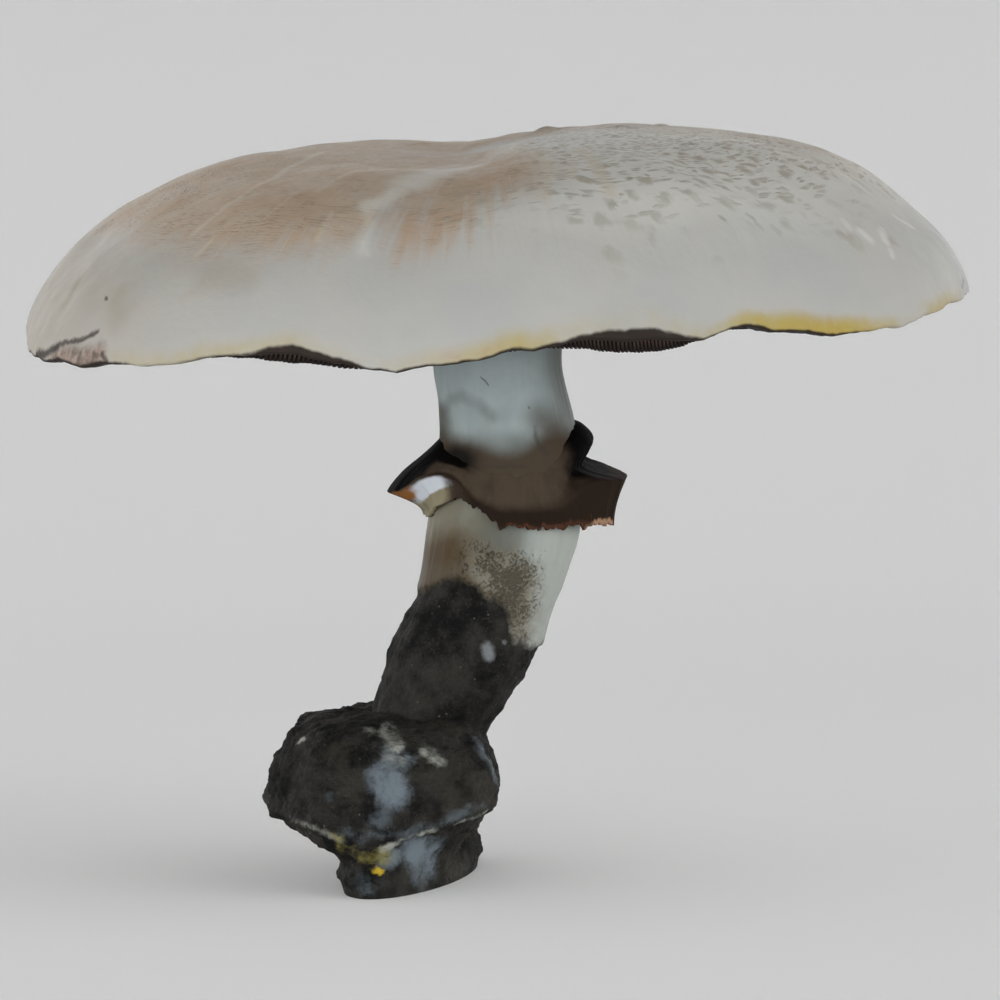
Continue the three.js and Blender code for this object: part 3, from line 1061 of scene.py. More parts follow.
    @staticmethod
    def unroll(path: Path) -> Path:
        """A path of (azimuth, length of skin) pairs as places on the skin laid out flat."""
        return tuple(
            (run * math.cos(math.radians(azimuth)), run * math.sin(math.radians(azimuth)), 0.0)
            for azimuth, run in path
        )

    @classmethod
    def unrolled(cls, marks: Sequence[Mark]) -> list[Mark]:
        """Marks with their paths on the skin laid out flat."""
        return [replace(mark, path=cls.unroll(mark.path)) for mark in marks]


@dataclass(frozen=True)
class FleshFinish:
    """Bare flesh: the cap's underside between the gills."""

    pale: Tone = tone(150, 140, 126)
    dark: Tone = tone(96, 82, 70)
    roughness: float = 0.7
    relief_depth: float = 0.3

    def build(self) -> bpy.types.Material:
        """Builds the material.

        Returns:
            The material.
        """
        bench = MaterialBench("cap_flesh")
        place = bench.place()
        feeds = {"Place": place, "Size": 4.0, "First Colour": self.dark, "Second Colour": self.pale}
        colour = bench.group(mottle_effect(), feeds).outputs[0]
        height = bench.noise(place, 0.8, 4.0)
        return finish_material(bench, colour, self.roughness, height, self.relief_depth)


@dataclass
class Cap:
    """The cap: a domed crown, a thin lip and a shallow hollow beneath for the gills."""

    radius: float = 101.0
    crown: float = 0.385 * 101.0
    depth: float = 0.95
    centre: tuple[float, float, float] = (19.0, 17.0, 119.6)
    tilt: float = math.radians(2.4)
    steps: int = 432
    skin_rows: int = 170
    underside_rows: int = 22
    tuft_width: float = 2.6
    dimple_depth: float = 1.2
    dimple_reach: float = 0.24
    nick_depth: float = 0.9

    def outline(self, degrees: Array) -> Array:
        """How far the outline stands from a circle, as a share of the radius.

        Args:
            degrees: The azimuths.

        Returns:
            A share for each azimuth.
        """
        angle = np.radians(degrees)
        egg = 0.065 * (np.cos(3 * angle) - np.cos(angle))
        broad = 0.012 * np.sin(2 * angle + 0.6)
        right_end = 0.026 * near(degrees, -4, 20)
        return egg + broad + 0.008 * np.sin(5 * angle + 1.1) + 0.004 * np.sin(9 * angle) - right_end

    def margin_rise(self, degrees: Array) -> Array:
        """How far the margin stands above the widest level."""
        waves = ((rise * bell(np.radians(turn(degrees, at)), width)) for at, width, rise in MARGIN_WAVES)
        return sum(waves)

    def crown_sink(self, share: Array, degrees: Array) -> Array:
        """How far the crown sinks: a dimple in its middle and folds that run outwards from it.

        Args:
            share: How far out each point is, as a share of the radius.
            degrees: Its azimuth.

        Returns:
            How far each point sinks.
        """
        total = self.dimple_depth * bell(share, self.dimple_reach)
        flat = round_about(degrees, share * self.radius, 0 * share)
        for path, width, rise in CROWN_LAY:
            total -= rise * bell(distance_to(flat, path), width)
        for at, slant, width, depth, middle, reach in CROWN_FOLDS:
            off = np.radians(turn(degrees, at + slant * (share - middle)))
            total += depth * bell(off, width) * bell(share - middle, reach) * ease(0, 0.25, share)
        return total

    def settle(self, points: Array) -> Array:
        """Takes points of the round, level cap to their places on the real, uneven one.

        Args:
            points: The points, a row each.

        Returns:
            The settled points.
        """
        degrees = azimuths(points)
        share = np.hypot(points[:, 0], points[:, 1]) / self.radius
        spread = 1 + self.outline(degrees) * ease(0, 0.9, share)
        sink = self.crown_sink(share, degrees) * ease(0.2, 0.8, points[:, 2] / self.crown)
        x = points[:, 0] * spread
        y = points[:, 1] * spread * self.depth
        z = points[:, 2] + self.margin_rise(degrees) * ease(0.4, 1, share) - sink
        cos, sin = math.cos(self.tilt), math.sin(self.tilt)
        return np.column_stack([x * cos - z * sin, y, x * sin + z * cos]) + np.array(self.centre)

    def profile(self, pairs: Sequence[Sequence[float]], rows: int) -> Array:
        """A smooth profile through (share of the radius, share of the crown) pairs."""
        knots = [(share * self.radius, rise * self.crown) for share, rise in pairs]
        return threaded(knots, rows)

    def build_flesh(self) -> bpy.types.Object:
        """Builds the skin and the flesh under it as one closed form, and lays out its tints.

        Returns:
            The piece.
        """
        skin = self.profile(CAP_SKIN, self.skin_rows)
        skin_length = float(np.linalg.norm(np.diff(skin, axis=0), axis=1).sum())
        profile = np.vstack([skin, self.profile(CAP_UNDERSIDE, self.underside_rows)])
        mesh, level, run = spun("cap_skin", profile, self.steps)
        degrees = azimuths(level)
        share = np.hypot(level[:, 0], level[:, 1]) / self.radius
        on_skin = ease(skin_length + 0.5, skin_length - 0.5, run)
        nicks = grain(round_about(degrees, 60, 0 * run), 7, 1)
        level[:, 2] += self.nick_depth * nicks * ease(0.9, 1, share)
        move_points(mesh, self.settle(level))
        swell(mesh, self.relief(degrees, run, level) * on_skin)
        self.lay_tints(mesh, degrees, run, skin_length)
        cap = make_piece(mesh, [SkinFinish().build(), FleshFinish().build()], "cap")
        runs = values_of(mesh, "run")
        for face in mesh.polygons:
            face.material_index = int(min(runs[v] for v in face.vertices) > skin_length - 0.2)
        return cap

    def relief(self, degrees: Array, run: Array, level: Array) -> Array:
        """Low relief of the skin: wrinkles that run outwards, shallow lumps and the crown's tufts.

        Args:
            degrees: The azimuth of each point.
            run: The length of skin from the crown's middle.
            level: The points of the level cap.

        Returns:
            How far each point stands out.
        """
        fan = round_about(degrees, 18, run / 40)
        wrinkles = 0.09 * grain(fan, 1.0, 2, 3) * ease(40, 75, run) * ease(112, 95, run)
        lumps = 0.5 * grain(level, 26, 3, 3) * ease(118, 100, run)
        tufts = np.zeros(len(run))
        flat = round_about(degrees, run, 0 * run)
        for azimuth, length, height in CROWN_TUFTS:
            spot = length * np.array([math.cos(math.radians(azimuth)), math.sin(math.radians(azimuth)), 0])
            tufts += height * bell(np.linalg.norm(flat - spot, axis=1), self.tuft_width)
        return wrinkles + lumps + tufts

    def lay_tints(self, mesh: bpy.types.Mesh, degrees: Array, run: Array, length: float) -> None:
        """Lays out where the skin is brown, scaly, combed, stained and dark-rimmed, and where painted sheen
        and painted shade lie on it.

        Args:
            mesh: The cap's mesh.
            degrees: The azimuth of each point.
            run: The length of skin from the crown's middle.
            length: That length at the lip.
        """
        add_layer(mesh, "plan", round_about(degrees, run, run))
        edge, strength, scaly = read_table(CROWN_TINT, degrees, closed=True).T
        strength = strength + (0.38 - strength) * ease(12, 2, run)
        brown = strength * ease(edge + 12, edge - 12, run)
        grey_crown = 0.3 * near(degrees, -160, 50) * ease(36, 20, run)
        core = 0.4 * near(degrees, -90, 11) * bell(run - 52, 13)
        add_layer(mesh, "brown", brown * (1 - grey_crown) + core)
        add_layer(mesh, "scaly", scaly * ease(112, 78, run) * (0.6 + 0.4 * ease(10, 40, run)))
        add_layer(mesh, "rusty", near(degrees, -12, 16) * ease(66, 80, run))
        combed = near(degrees, -97, 13) * bell(run - 82, 15) + 0.45 * bell(run - 82, 17)
        add_layer(mesh, "combed", combed)
        warm = near(degrees, -158, 26) * ease(82, 104, run)
        for at, spread, warmth, middle, reach in WARM_PATCHES:
            warm += warmth * near(degrees, at, spread) * bell(run - middle, reach)
        add_layer(mesh, "warm", warm)
        flat = round_about(degrees, run, 0 * run)
        # Partly painted sheen down the crown's broad fold.
        add_layer(mesh, "valley_sheen", soft_marks(flat, SkinFinish.unrolled(VALLEY_SHEEN), 1.0, 31))
        add_layer(mesh, "smudged", soft_marks(flat, SkinFinish.unrolled(SMUDGES), 1.6, 32))
        add_layer(mesh, "shaded", soft_marks(flat, SkinFinish.unrolled(TUFT_SHADE), 0.8, 33))
        stain, height, rim, rim_height = read_table(MARGIN_TINT, degrees, closed=True).T
        stain_foot = length - 2.0 - rim_height
        add_layer(mesh, "stain", stain * ease(stain_foot - 0.4 - 2.2 * height, stain_foot, run))
        ochre = 0.8 * near(degrees, -95, 4) + 0.25 * near(degrees, -42, 8) + near(degrees, 98, 9)
        add_layer(mesh, "ochre", ochre)
        darkening = ease(length - 2.0 - 1.3 * rim_height, length - 0.9 - 0.7 * rim_height, run)
        add_layer(mesh, "rim", rim * darkening)


# ---------------------------------------------------------------- the gills

# The blades in one pitch: where each begins, as a share of the radius, and its place in the pitch.
GILL_PITCH = ((0.236, 0.0), (0.46, 0.5), (0.66, 0.25), (0.66, 0.75))

# Where the gills hang lower near the margin: azimuth, width in degrees and depth.
GILL_SAGS = ((-112, 8, 1.9), (-75, 9, 2.9), (-66, 5, 1.0), (-50, 8, 1.0), (60, 10, 1.2), (120, 12, 1.4))


@dataclass(frozen=True)
class GillFinish:
    """Ripe gills: chocolate brown with darker free edges."""

    root: Tone = tone(70, 57, 49)
    edge: Tone = tone(36, 30, 27)
    inky: Tone = tone(28, 31, 58)
    roughness: float = 0.72
    relief_depth: float = 0.12
    specular: float = 0.12

    def build(self) -> bpy.types.Material:
        """Builds the material.

        Returns:
            The material.
        """
        bench = MaterialBench("gills")
        place = bench.place()
        hang = bench.layer("hang").outputs["Fac"]
        uneven = bench.math("SUBTRACT", bench.noise(place, 0.25, 4.0), 0.5)
        shade = bench.span(bench.math("ADD", hang, bench.times(uneven, 0.8)), 0.2, 0.8)
        colour = bench.mix(shade, self.root, self.edge)
        colour = bench.mix(bench.layer("inky").outputs["Fac"], colour, self.inky)
        relief = bench.noise(place, 1.6, 3.0)
        return finish_material(bench, colour, self.roughness, relief, self.relief_depth, self.specular)


@dataclass
class Gills:
    """The gills: thin blades of three lengths that hang from the cap's underside."""

    cap: Cap
    full_blades: int = 160
    thickness: float = 0.55
    stations: int = 10
    widest: float = 0.966
    short_start: float = 0.3
    start_raggedness: float = 0.3
    root_depth: float = 0.6
    edge_ripple: float = 0.3
    sway: float = 0.9
    curve_steps: int = 80
    bunch: int = 5
    bunch_doublings: int = 5

    def build(self) -> bpy.types.Object:
        """Builds one blade of each length and repeats them round the stem.

        Returns:
            The piece.
        """
        form = bmesh.new()
        form.verts.layers.float.new("begins")
        pitch = math.tau / self.full_blades
        for start, offset in GILL_PITCH:
            self.add_blade(form, start, offset * pitch)
        bmesh.ops.spin(
            form,
            geom=[*form.verts, *form.edges, *form.faces],
            cent=ORIGIN,
            axis=(0, 0, 1),
            dvec=ORIGIN,
            angle=(self.bunch - 1) * pitch,
            steps=self.bunch - 1,
            use_duplicate=True,
        )
        repeat_round(form, self.bunch * pitch, self.bunch_doublings)
        bmesh.ops.recalc_face_normals(form, faces=form.faces)
        mesh = bpy.data.meshes.new("gills_blades")
        form.to_mesh(mesh)
        form.free()
        self.hang(mesh)
        return make_piece(mesh, [GillFinish().build()], "gills")

    def add_blade(self, form: bmesh.types.BMesh, start: float, offset: float) -> None:
        """Adds a blade from a share of the radius out to the margin.

        Args:
            form: The bmesh that holds the blades. X is the share, and Z goes from 0 at the root to 1 at the
                free edge.
            start: The share of the radius where the blade begins.
            offset: The angle that it stands at, in radians.
        """
        reach = self.widest - start
        sheet = bmesh.ops.create_grid(form, x_segments=self.stations, y_segments=1, size=0.5)["verts"]
        upright = Matrix.Rotation(math.radians(90), 3, "X")
        bmesh.ops.rotate(form, verts=sheet, cent=ORIGIN, matrix=upright)
        bmesh.ops.scale(form, verts=sheet, vec=(reach, 1, 1))
        bmesh.ops.translate(form, verts=sheet, vec=(start + reach / 2, 0, 0.5))
        faces = list({face for vertex in sheet for face in vertex.link_faces})
        thick = bmesh.ops.solidify(form, geom=faces, thickness=self.thickness / self.cap.radius)
        blade = list({item for item in thick["geom"] if isinstance(item, bmesh.types.BMVert)} | set(sheet))
        bmesh.ops.rotate(form, verts=blade, cent=ORIGIN, matrix=Matrix.Rotation(offset, 3, "Z"))
        begins = form.verts.layers.float["begins"]
        for vertex in blade:
            vertex[begins] = start

    def hang(self, mesh: bpy.types.Mesh) -> None:
        """Fits the flat blades between the cap's underside and the line of their free edges.

        Args:
            mesh: The blades, as add_blade leaves them.
        """
        points = points_of(mesh)
        share = np.hypot(points[:, 0], points[:, 1])
        hang = np.clip(points[:, 2], 0, 1)
        degrees = azimuths(points)
        is_short = values_of(mesh, "begins") > self.short_start
        outward = points * (1 / share)[:, None] * (1, 1, 0)
        ragged = self.start_raggedness * grain(outward, 0.07, 8, 2) * is_short
        share = self.widest - (self.widest - share) * (1 + ragged)
        under = self.cap.profile(CAP_UNDERSIDE, self.curve_steps)[::-1] / self.cap.radius
        edges = self.cap.profile(GILL_EDGES, self.curve_steps) / self.cap.radius
        root = np.interp(share, under[:, 0], under[:, 1]) * self.cap.radius + self.root_depth
        free = np.interp(share, edges[:, 0], edges[:, 1]) * self.cap.radius
        angle = np.radians(degrees)
        around = round_about(degrees, 1, share)
        ripple = self.edge_ripple * grain(around, 0.05, 5, 2)
        free += ripple + self.droop(degrees) * ease(0.8, 0.95, share)
        lean = self.sway * grain(around, 0.3, 6, 2) * hang + 0.5 * grain(around, 0.12, 7, 1)
        turned = angle + np.radians(lean)
        radius = share * self.cap.radius
        height = root + (free - root) * hang
        level = np.column_stack([radius * np.cos(turned), radius * np.sin(turned), height])
        move_points(mesh, self.cap.settle(level))
        add_layer(mesh, "hang", hang)
        add_layer(mesh, "inky", near(degrees, -48, 9) * ease(0.8, 0.92, share))

    def droop(self, degrees: Array) -> Array:
        """How much lower than the rest the free edges hang near the margin, as a height change."""
        return -sum(depth * near(degrees, at, width) for at, width, depth in GILL_SAGS)


# ---------------------------------------------------------------- the stem

# The stem's stations: height, centre x, centre y and half-width.
STEM_STATIONS = (
    (16, 0, 6, 9.5),
    (27, 2.2, 6.6, 12.6),
    (37, 6.4, 7.4, 14.5),
    (44, 9.9, 8, 15.6),
    (49, 11.5, 8.6, 16.3),
    (55, 13.8, 9.3, 15.5),
    (61, 16.6, 10, 15.2),
    (71, 19.2, 11, 16.4),
    (80, 20.2, 12, 16),
    (92, 20.9, 13.4, 15),
    (100, 20.1, 14.4, 14.3),
    (108, 18.6, 15.2, 13.9),
    (125, 18.6, 16.4, 14),
    (144, 19, 17, 15.4),
)

# The height up to which soil clings to the stem, by azimuth.
SOIL_LINE = (
    (-165, 60.6),
    (-136, 63.3),
    (-122, 64.4),
    (-104, 63.1),
    (-92, 60.8),
    (-75, 59.3),
    (-62, 55.6),
    (-55, 51.8),
    (-48, 50.8),
    (-25, 49.1),
    (5, 50.5),
    (40, 55),
    (75, 60),
    (110, 63),
    (150, 61),
)

# Marks on the stem, as places in the part's frame.
# Painted shade in folds of the upper stem and along the ring's top.
STEM_CREASE_SHADE = (
    Mark(
        ((6.8, 8.5, 99), (8.2, 6.2, 101.6), (11, 3.4, 102.6), (14.6, 1.4, 101.2), (17.4, 0.6, 98.6)),
        1.2,
        0.98,
        0.3,
    ),
    Mark(((26.4, 0.8, 96.5), (26.6, -0.2, 94.4), (27.4, -0.4, 92.2), (29, 0.2, 90.8)), 0.5, 0.9, 0.5),
    Mark(((14.9, 1.6, 107), (15.8, 1.2, 106), (16.5, 0.9, 105.2)), 0.16, 0.8, 0.7),
    Mark(((25.1, 0.9, 100.4),), 0.3, 0.8, 0.7),
    Mark(((13.6, -1.4, 88.9), (18, -2.6, 88.3), (22, -2.9, 88.4), (26.4, -2.2, 88.2)), 0.3, 0.9, 0.6),
)
# Painted highlight: a pale, cool patch of light on the upper stem's front, above the ring.
STEM_BULGE_HIGHLIGHTS = (
    Mark(((10, 4.2, 98.6), (13, 1.8, 98), (17, 0.2, 96.0), (19, -1, 94.4)), 2.3, 0.98, 0.25),
)
STEM_SMUDGES = (
    Mark(((28.6, 0.4, 98), (31, 3.0, 95.5), (32.4, 4.4, 92)), 3.6, 0.95, 0.75),
)
STEM_MOULD = (
    Mark(((16.4, -6.5, 50.2), (16.8, -6.4, 48.6)), 1.2, 0.6, 0.8),
    Mark(((20.0, -4.5, 51.2),), 0.5, 0.6, 0.5),
)


@dataclass(frozen=True)
class StemFinish:
    """The stem: cool pale flesh, browner at the ring and at the soil, which clings to its lower half, with
    painted shade and painted shadow above and under the ring and a painted highlight on its upper front.
    """

    cool: Tone = tone(156, 167, 168)
    grey: Tone = tone(146, 156, 156)
    # Painted shade on the stem's right side and near the ring's top.
    dim_shade: Tone = tone(94, 99, 96)
    shaded: Tone = tone(74, 74, 66)
    white: Tone = tone(146, 150, 144)
    olive: Tone = tone(94, 89, 72)
    tan: Tone = tone(62, 49, 30)
    brown: Tone = tone(62, 52, 41)
    # Painted shadow, very dark.
    pocket_shade: Tone = tone(14, 12, 10)
    # Painted shade in folds.
    crease_shade: Tone = tone(50, 50, 46)
    litter: Tone = tone(42, 35, 26)
    cream: Tone = tone(100, 92, 75)
    mould: Tone = tone(120, 124, 126)
    relief_depth: float = 0.8
    specular: float = 0.1

    def build(self) -> bpy.types.Material:
        """Builds the material.

        Returns:
            The material.
        """
        bench = MaterialBench("stem_flesh")
        place = bench.place()
        x, y, z = bench.parts(place)
        threads = bench.noise(bench.joined(x, y, bench.times(z, 0.09)), 0.5, 4.0, 0.6)
        tones = {"First Colour": self.grey, "Second Colour": self.cool}
        feeds = {"Place": place, "Size": 16.0, **tones, "Edge": 0.2}
        colour = bench.group(mottle_effect(), feeds).outputs[0]
        colour = bench.mix(bench.span(threads, 0.52, 0.74, 0.0, 0.18), colour, self.white)

        def tint(layer: str, base: Socket, hue: Feed, ruffle: float, strength: float) -> Socket:
            """Tints a colour where a layer is high, with a ruffled edge.

            Args:
                layer: The layer's name.
                base: The colour so far.
                hue: The tint.
                ruffle: How uneven the edge is.
                strength: How much of the tint shows at most.

            Returns:
                The tinted colour.
            """
            uneven = bench.times(bench.math("SUBTRACT", bench.noise(place, 0.2, 4.0, 0.6), 0.5), ruffle)
            amount = bench.math("ADD", bench.layer(layer).outputs["Fac"], uneven)
            return bench.mix(bench.span(amount, 0.1, 0.9, 0.0, strength), base, hue)

        colour = tint("shaded", colour, self.shaded, 0.25, 0.9)
        # Painted shade.
        colour = tint("dim_shade", colour, self.dim_shade, 0.15, 0.95)
        colour = tint("pale", colour, self.white, 0.25, 0.9)
        colour = tint("olive", colour, self.olive, 0.3, 0.92)
        colour = tint("browned", colour, self.brown, 0.12, 0.97)
        ragged = wobbled(bench, place, 0.25, 1.6)
        # Painted highlight on the upper stem's front.
        colour = bench.mix(draw_marks(bench, ragged, STEM_BULGE_HIGHLIGHTS), colour, self.cool)
        colour = bench.mix(draw_marks(bench, ragged, STEM_SMUDGES), colour, self.brown)
        # Painted shadow in the pocket above the ring at the left front.
        colour = tint("pocket_shaded", colour, self.pocket_shade, 0.25, 0.95)
        # Painted shade in folds of the stem.
        crease_shading = draw_marks(bench, ragged, STEM_CREASE_SHADE)
        colour = bench.mix(crease_shading, colour, self.crease_shade)
        colour = tint("tan", colour, self.tan, 0.35, 0.95)

        dirty = bench.layer("dirty").outputs["Fac"]
        feeds = {"Place": place, "Mask": bench.times(dirty, 1.3), "Size": 4.0, "Loss": 0.5}
        film = bench.group(film_effect(), feeds)
        colour = bench.mix(bench.times(film.outputs[0], 0.85), colour, self.cream)
        flecks = bench.noise(wobbled(bench, place, 1.2, 1.2), 1.45, 5.0, 0.78)
        crowded = bench.times(bench.noise(place, 0.16, 2.0), 0.4)
        crowded = bench.math("ADD", bench.math("ADD", flecks, crowded), bench.times(dirty, 0.12))
        litter = bench.times(bench.span(crowded, 0.77, 0.95), bench.span(dirty, 0.05, 0.4))
        colour = bench.mix(bench.times(litter, 0.66), colour, self.litter)

        soil = bench.group(soil_effect(), {"Place": place, "Grit": 0.2})
        ruffle = bench.times(bench.math("SUBTRACT", bench.noise(place, 0.5, 5.0, 0.65), 0.5), 3.2)
        line = bench.math("ADD", bench.layer("soil").outputs["Fac"], ruffle)
        buried = bench.span(line, -1.3, 0.9)
        mould = draw_marks(bench, wobbled(bench, place, 0.7, 1.6), STEM_MOULD)
        earth = bench.mix(mould, soil.outputs["Colour"], self.mould)
        colour = bench.mix(buried, colour, earth)

        flesh_relief = bench.math("ADD", bench.times(threads, 0.22), bench.times(litter, 0.2))
        relief = bench.between(buried, flesh_relief, bench.math("ADD", soil.outputs["Height"], 0.2))
        dull = bench.span(bench.layer("browned").outputs["Fac"], 0.0, 0.5, 0.55, 0.85)
        roughness = bench.between(buried, dull, soil.outputs["Roughness"])
        return finish_material(bench, colour, roughness, relief, self.relief_depth, self.specular)


@dataclass
class Stem:
    """The stem: a leaning column that swells under the ring and is caked with soil below."""

    foot: float = 16.0
    top: float = 144.0
    rows: int = 200
    steps: int = 208
    soil_inset: float = 0.7

    def axis(self, height: Array) -> tuple[Array, Array, Array]:
        """The stem's centre and half-width at each height."""
        x, y, radius = read_table(STEM_STATIONS, height).T
        return x, y, radius

    def build(self) -> bpy.types.Object:
        """Builds the stem and lays out its tints.

        Returns:
            The piece.
        """
        wall = np.column_stack([np.ones(self.rows + 1), np.linspace(self.foot, self.top, self.rows + 1)])
        profile = np.vstack([[0, self.foot], wall, [0, self.top]])
        mesh, level, _ = spun("stem_flesh", profile, self.steps)
        degrees = azimuths(level)
        angle = np.radians(degrees)
        height = level[:, 2]
        x, y, radius = self.axis(height)
        uneven = 1 + 0.016 * np.sin(2 * angle + height / 22) + 0.01 * np.sin(3 * angle - height / 15)
        out_x, out_y = level[:, 0] * radius * uneven, level[:, 1] * radius * uneven
        points = np.column_stack([x + out_x, y + out_y, height])
        move_points(mesh, points)
        line = read_table(SOIL_LINE, degrees, closed=True)[:, 0]
        buried = ease(-0.6, 0.8, line - height + 0.8 * grain(points, 5, 8))
        ends = ease(self.foot, self.foot + 3, height) * ease(self.top, self.top - 3, height)
        ridges = round_about(degrees, 8, height / 30)
        smooth = 0.22 * grain(ridges, 1.2, 9, 3) + 0.25 * grain(points, 12, 10, 2)
        rough = -self.soil_inset + 0.55 * grain(points, 6, 11, 5) + 0.18 * grain(points, 1.6, 12, 3)
        swell(mesh, ends * (smooth + (rough - smooth) * buried))
        self.lay_tints(mesh, degrees, height, line)
        return make_piece(mesh, [StemFinish().build()], "stem")

    def lay_tints(self, mesh: bpy.types.Mesh, degrees: Array, height: Array, line: Array) -> None:
        """Lays out where the stem is buried, tanned, browned, olive, pale and dirty, and where painted shade
        and painted shadow lie on it.

        Args:
            mesh: The stem's mesh.
            degrees: The azimuth of each point.
            height: Its height.
            line: The height that soil clings up to there.
        """
        above = height - line
        left, right = near(degrees, -150, 50), near(degrees, -35, 42)
        below_ring = ease(86, 80, height)
        # Painted shade: down the stem's right side, at its upper front left, and just above the ring at the
        # front.
        dim_shade = 1.1 * near(degrees, 0, 48) + 0.4 * near(degrees, -112, 36) * ease(104, 99, height)
        dim_shade += 0.55 * near(degrees, -84, 34) * ease(97.5, 92.5, height)
        add_layer(mesh, "dim_shade", dim_shade * ease(84, 88, height))
        # Painted shadow in the pocket just above the ring at the left front.
        pocket_shaded = ease(94.5, 89.2, height) * ease(78, 86, height)
        add_layer(mesh, "pocket_shaded", 1.1 * near(degrees, -138, 24) * pocket_shaded)
        add_layer(mesh, "soil", -above)
        hem = 1.15 * left * ease(17, 4, above) + 0.5 * near(degrees, 110, 50) * ease(7, 1, above)
        add_layer(mesh, "tan", hem * ease(-4, 0, above) + 0.3 * bell(above, 2.0))
        add_layer(mesh, "olive", below_ring * near(degrees, -150, 52) * ease(64, 70, height))
        # Painted shade under the ring and down the stem's upper left edge.
        under_ring = below_ring * ease(64, 72, height) * near(degrees, -92, 30)
        left_edge = ease(104, 97, height) * ease(80, 86, height) * near(degrees, -170, 27)
        add_layer(mesh, "shaded", under_ring + left_edge)
        add_layer(mesh, "pale", below_ring * np.maximum(right, 0.6 * near(degrees, 70, 60)))
        brown_line = 93.6 - 2.8 * near(degrees, -90, 24) + 1.5 * near(degrees, -54, 18)
        browned = 1.05 * ease(brown_line + 4.4, brown_line - 4.0, height)
        add_layer(mesh, "browned", browned * ease(80, 84, height))
        front = 1.1 * near(degrees, -77, 37)
        grubby = front + 0.5 * near(degrees, 60, 60)
        high = 0.42 * near(degrees, -62, 21) * bell(height - 65, 6.5)
        add_layer(mesh, "dirty", (grubby * ease(14.5, 4.5, above) + high) * ease(-3, 1, above))


# ---------------------------------------------------------------- the ring

# The ring by azimuth: the height where it leaves the stem, how far out its knee is and at what height, the
# same of its free edge, and how closely it clings to the stem before the knee.
RING_STATIONS = (
    (-166, 94.4, 7.6, 82.0, 0.0, 76.6, 0.0),
    (-152, 91.4, 5.4, 85.2, 0.7, 78.8, 0.0),
    (-138, 90, 3.2, 86.6, 0.9, 80.4, 0.0),
    (-126, 88.9, 2.2, 85.4, 1.0, 81.4, 0.0),
    (-115, 88.3, 1.7, 82.2, 1.2, 80.4, 0.0),
    (-104, 88.2, 1.7, 80.4, 1.4, 78.2, 0.0),
    (-92, 88.2, 1.8, 79.0, 1.7, 76.2, 0.0),
    (-70, 88.5, 1.9, 79.0, 2.0, 75.5, 0.0),
    (-52, 90.2, 2.3, 80.0, 2.4, 75.4, 0.2),
    (-36, 93.6, 6.2, 84.6, 5.8, 75.6, 0.8),
    (-20, 95.6, 9.0, 84.6, 7.0, 75.2, 1.0),
    (0, 97.0, 9.6, 84.7, 6.8, 75.3, 1.0),
    (14, 97.2, 8.4, 85.4, 5.8, 75.6, 1.0),
    (30, 96.5, 5.0, 86.6, 3.8, 77, 0.6),
    (50, 94.4, 3.4, 84.5, 3.4, 78, 0.2),
    (75, 93.6, 3.4, 84.0, 4.2, 78.6, 0.2),
    (100, 93.2, 3.2, 85.0, 3.6, 79, 0.2),
    (128, 93.6, 5.4, 84.0, 4.6, 77.6, 0.2),
    (155, 94, 7.4, 82.4, 2.6, 77.4, 0.1),
    (178, 95.4, 8.8, 81.2, 0.2, 76.4, 0.0),
)

# How the skirt leaves the stem, as shares of the way down to its knee and of the knee's reach: freely, or
# after a fold that clings to the stem.
FREE_DRAPE = ((0, -0.45), (0.16, -0.12), (0.42, 0.26), (0.69, 0.7), (1, 1))
FOLDED_DRAPE = (
    (0, -0.3),
    (0.12, 0.08),
    (0.32, 0.28),
    (0.52, 0.19),
    (0.7, 0.05),
    (0.79, 0.06),
    (0.89, 0.4),
    (0.95, 0.78),
    (1, 1),
)


